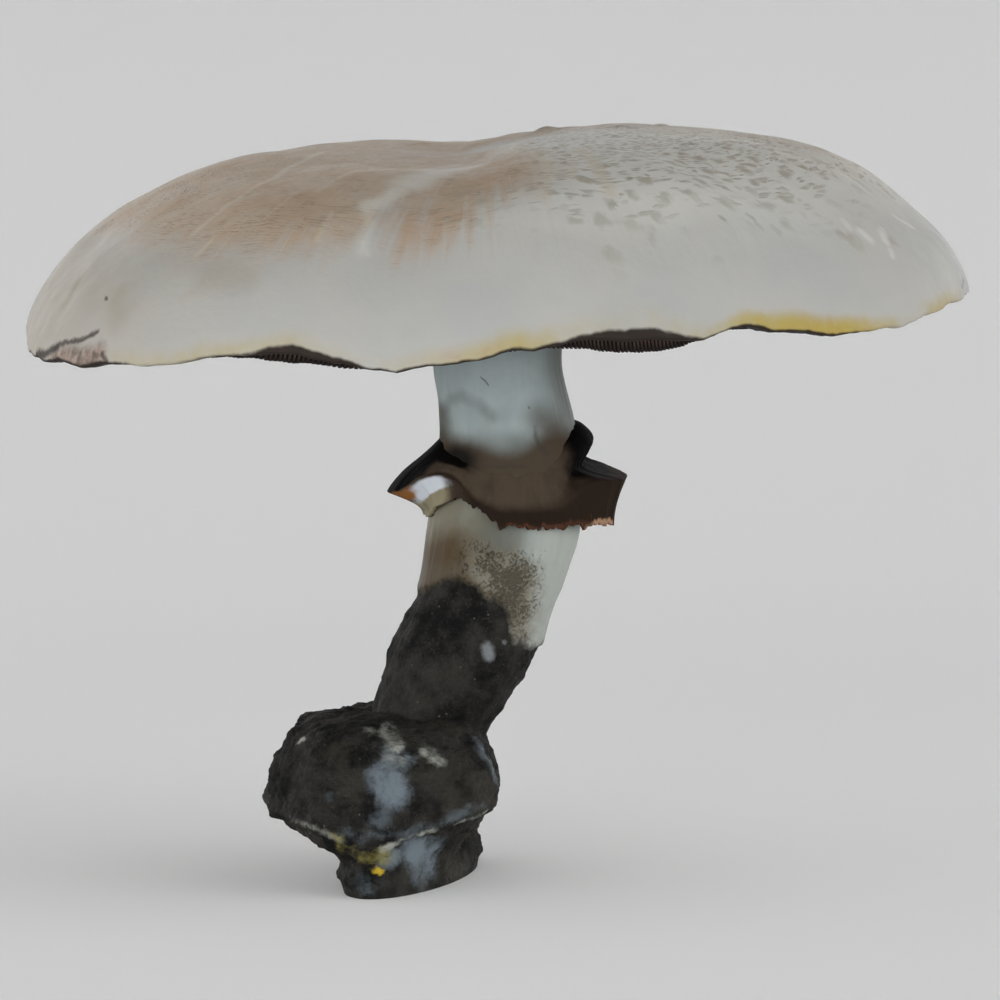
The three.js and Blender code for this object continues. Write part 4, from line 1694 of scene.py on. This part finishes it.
@dataclass(frozen=True)
class VeilFinish:
    """The torn veil: brown to dark brown outside, with painted shadow, very dark, on its upper skirt and in
    a pocket at the left; pale where its inner side shows, rust-coloured at its edge.
    """

    taupe: Tone = tone(68, 59, 49)
    dark: Tone = tone(34, 26, 20)
    # Painted shadow.
    painted_shadow: Tone = tone(5, 4, 4)
    pale: Tone = tone(176, 182, 188)
    olive: Tone = tone(118, 112, 92)
    amber: Tone = tone(122, 82, 46)
    rust: Tone = tone(70, 45, 33)
    peach: Tone = tone(142, 112, 90)
    roughness: float = 0.85
    relief_depth: float = 0.35
    specular: float = 0.04

    def build(self) -> bpy.types.Material:
        """Builds the material.

        Returns:
            The material.
        """
        bench = MaterialBench("veil")
        place = bench.place()
        x, y, z = bench.parts(place)
        pleats = bench.noise(bench.joined(x, y, bench.times(z, 0.3)), 0.3, 4.0, 0.6)
        uneven = bench.math("SUBTRACT", bench.noise(place, 0.3, 4.0), 0.5)
        threads = bench.noise(bench.joined(x, y, bench.times(z, 0.35)), 1.3, 3.0, 0.7)
        fringe = bench.math("SUBTRACT", threads, 0.5)

        def tint(
            layer: str, base: Socket, hue: Feed, ruffle: Socket, low: float = 0.25, high: float = 0.75
        ) -> Socket:
            """Tints a colour where a layer is high, with a ruffled edge."""
            amount = bench.math("ADD", bench.layer(layer).outputs["Fac"], ruffle)
            return bench.mix(bench.span(amount, low, high), base, hue)

        some, more = bench.times(uneven, 0.5), bench.times(fringe, 1.5)
        colour = bench.mix(bench.span(pleats, 0.4, 0.72, 0.0, 0.3), self.taupe, self.dark)
        colour = tint("dark", colour, self.dark, some, 0.0, 1.0)
        # Painted shadow on the upper skirt.
        colour = tint("painted_shadow", colour, self.painted_shadow, some)
        colour = tint("olive", colour, self.olive, some)
        colour = tint("pale", colour, self.pale, some)
        colour = tint("amber", colour, self.amber, bench.times(uneven, 1.0))
        colour = tint("edge", colour, self.rust, more, 0.35, 0.9)
        colour = tint("peach", colour, self.peach, bench.times(fringe, 0.7))
        relief = bench.math("ADD", bench.times(pleats, 0.6), bench.times(uneven, 0.5))
        return finish_material(bench, colour, self.roughness, relief, self.relief_depth, self.specular)


@dataclass
class Ring:
    """The ring: a thin torn skirt that clings to the stem and stands out in lobes."""

    stem: Stem
    thickness: float = 0.9
    steps: int = 448
    rows: int = 60
    knee_share: float = 0.6
    tatter_depth: float = 0.7
    fringe_depth: float = 0.9

    def build(self) -> bpy.types.Object:
        """Builds the skirt as a sheet, tears its edge and gives it its thickness.

        Returns:
            The piece.
        """
        profile = np.column_stack([np.ones(self.rows + 1), np.linspace(1, 0, self.rows + 1)])
        mesh, level, _ = spun("ring_veil", profile, self.steps)
        share = 1 - level[:, 2]
        degrees = azimuths(level)
        move_points(mesh, self.drape(degrees, share))
        self.lay_tints(mesh, degrees, share)
        form = bmesh.new()
        form.from_mesh(mesh)
        bmesh.ops.solidify(form, geom=list(form.faces), thickness=self.thickness)
        bmesh.ops.recalc_face_normals(form, faces=form.faces)
        form.to_mesh(mesh)
        form.free()
        return make_piece(mesh, [VeilFinish().build()], "ring")

    def drape(self, degrees: Array, share: Array) -> Array:
        """Hangs the skirt: out from the stem to its knee, and from there down to its free edge.

        Args:
            degrees: The azimuth of each point.
            share: How far down the skirt it is, from 0 to 1.

        Returns:
            The hung points.
        """
        angle = np.radians(degrees)
        stations = read_table(RING_STATIONS, degrees, closed=True).T
        top, knee_out, knee_height, edge_out, edge_height, cling = stations
        fray = round_about(degrees, 17, 0 * share)
        frayed = 1 - 0.95 * near(degrees, -156, 36)
        tatters = self.tatter_depth * grain(fray, 5, 13, 2) + self.fringe_depth * grain(fray, 0.9, 14, 2)
        edge_height = edge_height + frayed * tatters
        lower = ease(0.55, 0.65, share)
        first = np.clip(share / self.knee_share, 0, 1)
        second = np.clip((share - self.knee_share) / (1 - self.knee_share), 0, 1)
        upper_height = top + (knee_height - top) * first
        lower_height = knee_height + (edge_height - knee_height) * second
        height = upper_height + (lower_height - upper_height) * lower
        free = read_table(FREE_DRAPE, first)[:, 0]
        flare = knee_out * (free + (read_table(FOLDED_DRAPE, first)[:, 0] - free) * np.clip(cling, 0, 1))
        inward = knee_out + (edge_out - knee_out) * np.sin(second * np.pi / 2)
        out = flare + (inward - flare) * lower
        folds = round_about(degrees, 10, 0.6 * share)
        ruffle = 0.5 * grain(folds, 2.2, 15, 3) + 0.25 * grain(folds, 0.7, 16, 2)
        out = out + ruffle * ease(0.05, 0.5, share)
        x, y, radius = self.stem.axis(height)
        reach = radius + out + self.thickness * 0.5
        return np.column_stack([x + reach * np.cos(angle), y + reach * np.sin(angle), height])

    def lay_tints(self, mesh: bpy.types.Mesh, degrees: Array, share: Array) -> None:
        """Lays out where painted shadow lies on the veil, and where the veil is dark, pale, amber, peach and
        frayed.

        Args:
            mesh: The skirt's mesh.
            degrees: The azimuth of each point.
            share: How far down the skirt it is, from 0 to 1.
        """
        left, right = near(degrees, -170, 22), near(degrees, -14, 28)
        front, rear = near(degrees, -85, 40), near(degrees, 90, 50)
        upper, lower = ease(0.66, 0.54, share), ease(0.58, 0.68, share)
        # Painted shadow, very dark: along the upper skirt at the left and at the right, and in the pocket
        # under its top at the left front.
        pocket = 1.1 * near(degrees, -142, 25) * ease(0.42, 0.15, share)
        painted_shadow = np.maximum(1.15 * left * upper, pocket)
        painted_shadow = np.maximum(painted_shadow, (1.15 * right + 0.8 * near(degrees, 24, 20)) * ease(0.62, 0.5, share))
        add_layer(mesh, "painted_shadow", painted_shadow)
        deeper = 1.5 * front * ease(0.42, 0.76, share) + 1.2 * right + 0.4 * rear
        add_layer(mesh, "dark", 0.05 + deeper + 0.7 * near(degrees, -135, 20) * bell(share - 0.6, 0.07))
        inner = near(degrees, -150, 17)
        pale = inner * ease(0.86, 0.77, share) + 0.6 * near(degrees, 150, 30)
        add_layer(mesh, "pale", pale * lower)
        add_layer(mesh, "olive", np.maximum(inner, near(degrees, -172, 12)) * ease(0.7, 0.8, share))
        rims = near(degrees, -168, 11) * bell(share - 0.67, 0.08)
        rims += 0.65 * near(degrees, 0, 5) * lower * ease(0.92, 0.75, share)
        add_layer(mesh, "amber", rims)
        frayed = 0.2 + 0.75 * near(degrees, -62, 34) - near(degrees, -160, 30)
        add_layer(mesh, "edge", ease(0.8, 1, share) * frayed)
        peach = near(degrees, -24, 14) * ease(0.91, 0.99, share) + 0.6 * rear * ease(0.9, 1, share)
        add_layer(mesh, "peach", peach)


# ---------------------------------------------------------------- the soil clod

# The clod as level slices: height, centre x and y, half-widths along X and Y, and lean.
CLOD_SLICES = (
    (0, 0.1, 1.5, 11.3, 31, 0.27),
    (3.5, -0.3, 1.5, 12.5, 32, 0.27),
    (7.5, -0.4, 1.3, 13.2, 32.4, 0.22),
    (10, -3.4, 0.8, 16.8, 31.8, 0.14),
    (12.5, -5.6, 1.2, 21.2, 33.0, 0.07),
    (17, -6.0, 3, 24.2, 35.2, 0),
    (22, -4.6, 3.6, 24.6, 35, 0),
    (26.5, -4.2, 3.6, 23.4, 32.6, 0),
    (30, -4.2, 3.6, 21.8, 29, 0),
    (33, -4.6, 4, 20.6, 23, 0),
    (35, -4.0, 5, 17.6, 17, 0),
    (35.8, -2, 6, 13, 12, 0),
)

# The clod's ledge, where its upper part overhangs the foot, as places in the part's frame.
LEDGE = (
    (-28, -6, 14),
    (-29.6, -13, 16.1),
    (-24.7, -24.9, 15.3),
    (-19.5, -30.5, 14.6),
    (-15.3, -31.5, 13.1),
    (-10.7, -30.9, 10.6),
    (-4.2, -29.6, 10.5),
    (0.6, -28, 12.1),
    (4.5, -26.4, 13.2),
    (11.9, -23.1, 15.9),
    (17, -17, 17.3),
    (19, -6, 16),
    (19, 10, 15),
    (15, 26, 13),
)

# Marks on the clod, as places in the part's frame.
BLUE_MOULD = (
    Mark(((-4.8, -30.6, 26.0), (-3.8, -31, 23.0)), 4.0, 0.6, 1.0),
    Mark(((-4.8, -31, 21), (-6.0, -31.5, 17)), 2.6, 0.9, 0.5),
    Mark(((-14, -31, 14), (-6, -30, 13), (2, -28, 14), (8, -26, 16), (14, -20, 18.5)), 1.4, 0.95, 0.5),
    Mark(((1.5, -28.6, 9.4), (5.0, -27, 8.4), (5.2, -26.4, 4.6)), 4.3, 0.6, 1.0),
    Mark(((-4, -29, 8.6), (0, -29, 9.4)), 2.6, 0.8, 1.0),
    Mark(((-3.8, -27, 29.6), (-1.4, -27.4, 29.0)), 2.6, 0.8, 0.9),
    Mark(((-12.5, -18, 6), (-8.5, -25, 2)), 2.4, 0.9, 0.65),
    Mark(((-17, -29, 22.4), (-16.4, -29, 21.4)), 1.3, 0.9, 0.45),
    Mark(((14.4, -13.4, 31.4), (17.6, -14.6, 27), (19.2, -12.8, 22)), 1.3, 0.9, 0.65),
    Mark(((20, 24, 20), (18, 28, 15)), 3.6, 0.6, 0.8),
)
# White mould; the marks that follow the ledge over the foot are partly painted highlight.
WHITE_MOULD_AND_LEDGE_HIGHLIGHTS = (
    Mark(((-27, -9, 29.2), (-25, -9.6, 30.6), (-22.4, -10.4, 31.4)), 0.6, 0.7, 0.95),
    Mark(((-8.6, -15, 34.2), (-5.5, -17, 34.4)), 1.2, 0.9, 0.55),
    Mark(((-5.0, -17, 34.6), (-3.2, -20, 33.4), (-2.8, -22.5, 31.8)), 2.0, 0.8, 1.0),
    Mark(((-2.8, -22, 33.4), (-2.6, -23, 32.4)), 1.0, 0.5, 1.0),
    Mark(((0.4, -22.6, 33.4), (3, -25, 31.4)), 1.0, 0.9, 0.65),
    Mark(((2.8, -25, 31.2), (6.4, -25.8, 28.8)), 1.6, 0.8, 0.95),
    Mark(((-4.6, -27, 29.8), (-1.6, -27.4, 29.4)), 1.5, 0.9, 0.5),
    Mark(((15.2, -13.4, 30.6), (17.6, -14.6, 26.8), (19.2, -12.8, 23.6), (19.2, -12, 20)), 0.5, 0.8, 0.65),
    # These three follow the ledge: partly white mould, partly painted highlight on its edge.
    Mark(((-28.6, -15, 16.6), (-24.6, -25, 16.0), (-19.5, -30.6, 15.2), (-14, -31.2, 12.6)), 0.7, 0.9, 0.5),
    Mark(((-5.4, -29, 10.4), (0.8, -28.4, 12.2), (5.2, -27, 13.6)), 1.0, 0.7, 1.0),
    Mark(((5.2, -27.6, 13.2), (12, -23.6, 15.8), (16.6, -18.6, 17.2)), 0.45, 0.9, 0.6),
    Mark(((-3.5, -30.8, 8.0), (-1.4, -30.9, 8.6)), 1.3, 0.8, 0.65),
    Mark(((-12.6, -18, 8.4), (-10, -22, 2.6)), 0.8, 0.9, 0.55),
    Mark(((-24.4, -27, 22), (-23, -27, 17.6)), 0.6, 0.95, 0.35),
    Mark(((-20, 24, 29), (-14, 29, 27)), 0.8, 0.6, 0.8),
    Mark(((2, 33, 29), (8, 30, 27)), 1.8, 0.6, 0.7),
)
SULPHUR_MOULD = (
    Mark(((-14.4, -27, 12.2), (-11, -24, 9.6), (-8, -27, 8.8), (-5, -29.6, 8.8)), 1.9, 0.8, 0.85),
    Mark(((-17.5, -31.6, 14.2), (-14.4, -31.2, 12.4)), 0.9, 0.9, 0.5),
)
YELLOW_SPOT = (Mark(((-9.0, -25, 6.2), (-6.2, -28.6, 5.8)), 0.8, 0.7, 1.0),)
# Painted shade: small dark spots that stand for holes in the clod's front.
HOLLOW_SHADE = (
    Mark(((-1.3, -30.8, 5.6), (-0.9, -30.9, 6.7)), 1.0, 0.8, 0.95),
    Mark(((4.0, -29.7, 8.2), (4.3, -29.7, 9.0)), 0.9, 0.8, 0.95),
    Mark(((-2, -30.6, 2.8), (0.4, -30.8, 2.2)), 1.2, 0.9, 0.8),
)


@dataclass(frozen=True)
class SoilFinish:
    """The clod: dark soil with blue-grey, white and yellow mould, a painted highlight along its ledge and
    painted shade in small holes.
    """

    blue: Tone = tone(100, 110, 117)
    white: Tone = tone(150, 152, 144)
    sulphur: Tone = tone(124, 118, 66)
    yellow: Tone = tone(180, 154, 44)
    brown: Tone = tone(52, 49, 43)
    # Painted shade in small holes.
    hollow: Tone = tone(26, 30, 28)
    squash: float = 0.4
    relief_depth: float = 1.1
    specular: float = 0.1

    def build(self) -> bpy.types.Material:
        """Builds the material.

        Returns:
            The material.
        """
        bench = MaterialBench("soil_clod")
        place = bench.place()
        soil = bench.group(soil_effect(), {"Place": place, "Grit": 0.22})
        patches = bench.span(bench.noise(place, 0.1, 4.0), 0.48, 0.66, 0.0, 0.65)
        colour = bench.mix(patches, soil.outputs["Colour"], self.brown)
        level = bench.vector("MULTIPLY", place, (1.0, self.squash, 1.0)).outputs[0]
        ragged, fine = wobbled(bench, level, 0.3, 3.4), wobbled(bench, level, 0.8, 1.5)

        def grow(
            base: Socket, marks: Sequence[Mark], spots: Socket, hue: Tone, size: float, loss: float
        ) -> Socket:
            """Lays a film of one mould over a colour.

            Args:
                base: The colour so far.
                marks: Where the mould grows.
                spots: The ragged place that the marks are drawn at.
                hue: The mould's colour.
                size: How large the gaps in its film are.
                loss: How much of the film they take.

            Returns:
                The colour with the mould on it.
            """
            drawn = draw_marks(bench, spots, self.squashed(marks))
            feeds = {"Place": place, "Mask": drawn, "Size": size, "Loss": loss}
            return bench.mix(bench.group(film_effect(), feeds).outputs[0], base, hue)

        colour = grow(colour, BLUE_MOULD, ragged, self.blue, 5.0, 0.6)
        # White mould, and painted highlight along the ledge.
        colour = grow(colour, WHITE_MOULD_AND_LEDGE_HIGHLIGHTS, fine, self.white, 1.8, 0.42)
        colour = grow(colour, SULPHUR_MOULD, ragged, self.sulphur, 3.0, 0.6)
        colour = grow(colour, YELLOW_SPOT, fine, self.yellow, 2.0, 0.2)
        # Painted shade in small holes.
        colour = grow(colour, HOLLOW_SHADE, fine, self.hollow, 2.0, 0.2)
        rough, relief = soil.outputs["Roughness"], soil.outputs["Height"]
        return finish_material(bench, colour, rough, relief, self.relief_depth, self.specular)

    def squashed(self, marks: Sequence[Mark]) -> list[Mark]:
        """Marks in a frame where Y counts for less, so that they reach a surface a little off them."""
        return [
            replace(mark, path=tuple((x, self.squash * y, z) for x, y, z in mark.path)) for mark in marks
        ]


@dataclass
class Clod:
    """The clod: a lump of soil round the stem's base, over the narrower foot that it stands on."""

    rows: int = 150
    steps: int = 400
    floor_rows: int = 24
    roof_rows: int = 20
    inset: float = 0.9
    highest_lump: float = 1.2
    lip_height: float = 0.9
    lip_width: float = 1.8
    hollow_depth: float = 1.5
    hollow_width: float = 2.6
    hollow_drop: float = 3.2

    def build(self) -> bpy.types.Object:
        """Builds the clod with its lumps and crumbs.

        Returns:
            The piece.
        """
        mesh, level, _ = spun("soil_clod_crust", self.profile(), self.steps)
        angle = np.arctan2(level[:, 1], level[:, 0])
        height = level[:, 2]
        x, y, wide, deep, lean = read_table(CLOD_SLICES, height).T
        along, across = np.abs(np.cos(angle)), np.abs(np.sin(angle))
        power = 2.0 + 0.4 * ease(5, 14, height)
        square = (along**power + across**power) ** (-1 / power)
        broad = 0.03 * np.sin(3 * angle + height / 6)
        fine = 0.025 * np.sin(5 * angle - height / 9) + 0.015 * np.sin(8 * angle)
        reach = square * (1 + (broad + fine) * ease(0, 6, height))
        radial_x, radial_y = level[:, 0] * reach, level[:, 1] * reach
        points = np.column_stack([x + radial_x * wide + radial_y * deep * lean, y + radial_y * deep, height])
        move_points(mesh, points)
        lumps = 1.2 * grain(points, 15, 21, 3) + 0.8 * grain(points, 6, 22, 4)
        lumps += 0.3 * grain(points, 1.8, 23, 3)
        lip = self.lip_height * bell(distance_to(points, LEDGE), self.lip_width)
        raised = points + np.array([0, 0, self.hollow_drop])
        hollow = self.hollow_depth * bell(distance_to(raised, LEDGE), self.hollow_width)
        relief = np.minimum(lumps, self.highest_lump) - self.inset + lip - hollow
        swell(mesh, relief * ease(0.2, 4, height))
        settled = points_of(mesh)
        settled[:, 2] = np.maximum(settled[:, 2], 0)
        move_points(mesh, settled)
        return make_piece(mesh, [SoilFinish().build()], "soil_clod")

    def profile(self) -> Array:
        """The wall at radius 1, closed below and above.

        Returns:
            (radius, height) points from the floor to the top.
        """
        top = CLOD_SLICES[-1][0]
        floor = np.column_stack([np.linspace(0, 1, self.floor_rows), np.zeros(self.floor_rows)])
        wall = np.column_stack([np.ones(self.rows), np.linspace(0, top, self.rows + 1)[1:]])
        roof = np.column_stack([np.linspace(1, 0, self.roof_rows)[1:], np.full(self.roof_rows - 1, top)])
        return np.vstack([floor, wall, roof])


# ---------------------------------------------------------------- the stage


@dataclass
class Stage:
    """A pale floor that turns up into a round wall, three soft lamps and the camera, in metres."""

    grey: Tone = tone(250, 250, 250)
    floor_radius: float = 6.0
    wall_radius: float = 0.6
    aim: tuple[float, float, float] = (0.019, 0.010, 0.0798)
    distance: float = 2.0
    elevation: float = math.radians(6.4)
    lens: float = 338.35
    low_lamp_size: tuple[float, float] = (1.3, 0.36)
    low_lamp_place: tuple[float, float, float] = (-1.1, -3.2, 0.27)
    low_lamp_power: float = 25.0
    backdrop: float = 0.61
    glow: float = 4.1
    floor_steps: int = 96
    bend_rows: int = 24

    def build_floor(self) -> None:
        """Builds the floor and its wall in one."""
        bend = np.linspace(0, math.pi / 2, self.bend_rows)
        sweep = np.column_stack(
            [self.floor_radius + self.wall_radius * np.sin(bend), self.wall_radius * (1 - np.cos(bend))]
        )
        profile = np.vstack([[0, 0], sweep])
        mesh, _, _ = spun("floor", profile, self.floor_steps)
        bench = MaterialBench("floor")
        shader = bench.lay("ShaderNodeBsdfDiffuse", {"Color": self.grey})
        clear = bench.lay("ShaderNodeBsdfTransparent", {})
        under = bench.lay("ShaderNodeNewGeometry", {}).outputs["Backfacing"]
        mixed = bench.lay("ShaderNodeMixShader", {0: under, 1: shader.outputs[0], 2: clear.outputs[0]})
        bench.lay("ShaderNodeOutputMaterial", {"Surface": mixed.outputs[0]})
        mesh.flip_normals()
        mesh.shade_smooth()
        mesh.materials.append(bench.material)
        floor = bpy.data.objects.new("floor", mesh)
        bpy.context.scene.collection.objects.link(floor)

    def add_lamp(self, name: str, place: tuple[float, float, float], spread: float, power: float) -> None:
        """Adds a far, soft lamp.

        Args:
            name: The lamp's name.
            place: Where it shines from.
            spread: How wide it looks from the mushroom, in degrees.
            power: Its strength.
        """
        lamp = bpy.data.lights.new(name, "SUN")
        lamp.angle, lamp.energy = math.radians(spread), power
        holder = bpy.data.objects.new(name, lamp)
        holder.location = place
        holder.rotation_euler = (-Vector(place)).to_track_quat("-Z", "Y").to_euler()
        bpy.context.scene.collection.objects.link(holder)

    def add_low_lamp(self) -> None:
        """Adds a wide, low panel in front, which shines in under the cap."""
        lamp = bpy.data.lights.new("lamp_low", "AREA")
        lamp.shape, lamp.energy = "RECTANGLE", self.low_lamp_power
        lamp.size, lamp.size_y = self.low_lamp_size
        holder = bpy.data.objects.new("lamp_low", lamp)
        holder.location = self.low_lamp_place
        holder.rotation_euler = (Vector(self.aim) - holder.location).to_track_quat("-Z", "Y").to_euler()
        holder.visible_camera = False
        bpy.context.scene.collection.objects.link(holder)

    def build_lights(self) -> None:
        """Sets the lamps and a pale surround that is brightest near the floor."""
        self.add_lamp("lamp_right", (1.6, -0.7, 1.4), 50.0, 0.28)
        self.add_lamp("lamp_left", (-1.6, -0.7, 1.4), 60.0, 0.1)
        self.add_low_lamp()
        world = bpy.data.worlds.new("surround")
        world.use_nodes = True
        bench = Bench(world.node_tree)
        generated = bench.lay("ShaderNodeTexCoord", {}).outputs["Generated"]
        glow = bench.span(bench.parts(generated)[2], 0.22, 0.52, self.glow, 0.0)
        seen = bench.lay("ShaderNodeLightPath", {}).outputs["Is Camera Ray"]
        background = world.node_tree.nodes["Background"]
        bench.feed(background.inputs["Color"], (1.0, 1.0, 1.0, 1.0))
        bench.feed(background.inputs["Strength"], bench.between(seen, glow, self.backdrop))
        bpy.context.scene.world = world

    def build_camera(self) -> None:
        """Sets the camera, level with the cap and looking slightly down."""
        camera = bpy.data.cameras.new("camera")
        camera.lens, camera.sensor_width = self.lens, 36.0
        camera.clip_end = 50.0
        holder = bpy.data.objects.new("camera", camera)
        back = Vector((0, -math.cos(self.elevation), math.sin(self.elevation)))
        holder.location = Vector(self.aim) + back * self.distance
        holder.rotation_euler = (math.pi / 2 - self.elevation, 0, 0)
        bpy.context.scene.collection.objects.link(holder)
        bpy.context.scene.camera = holder

    def build(self) -> None:
        """Builds the whole stage."""
        self.build_camera()
        self.build_floor()
        self.build_lights()
        bpy.context.scene.view_settings.view_transform = "Standard"


def main() -> None:
    """Builds the stage and the mushroom."""
    logging.basicConfig(level=logging.INFO, format="%(relativeCreated)6.0f ms  %(message)s")
    Stage().build()
    cap, stem = Cap(), Stem()
    pieces = [cap.build_flesh(), Gills(cap).build(), stem.build(), Ring(stem).build(), Clod().build()]
    LOG.info("%d pieces", len(pieces))


if __name__ == "__main__":
    main()
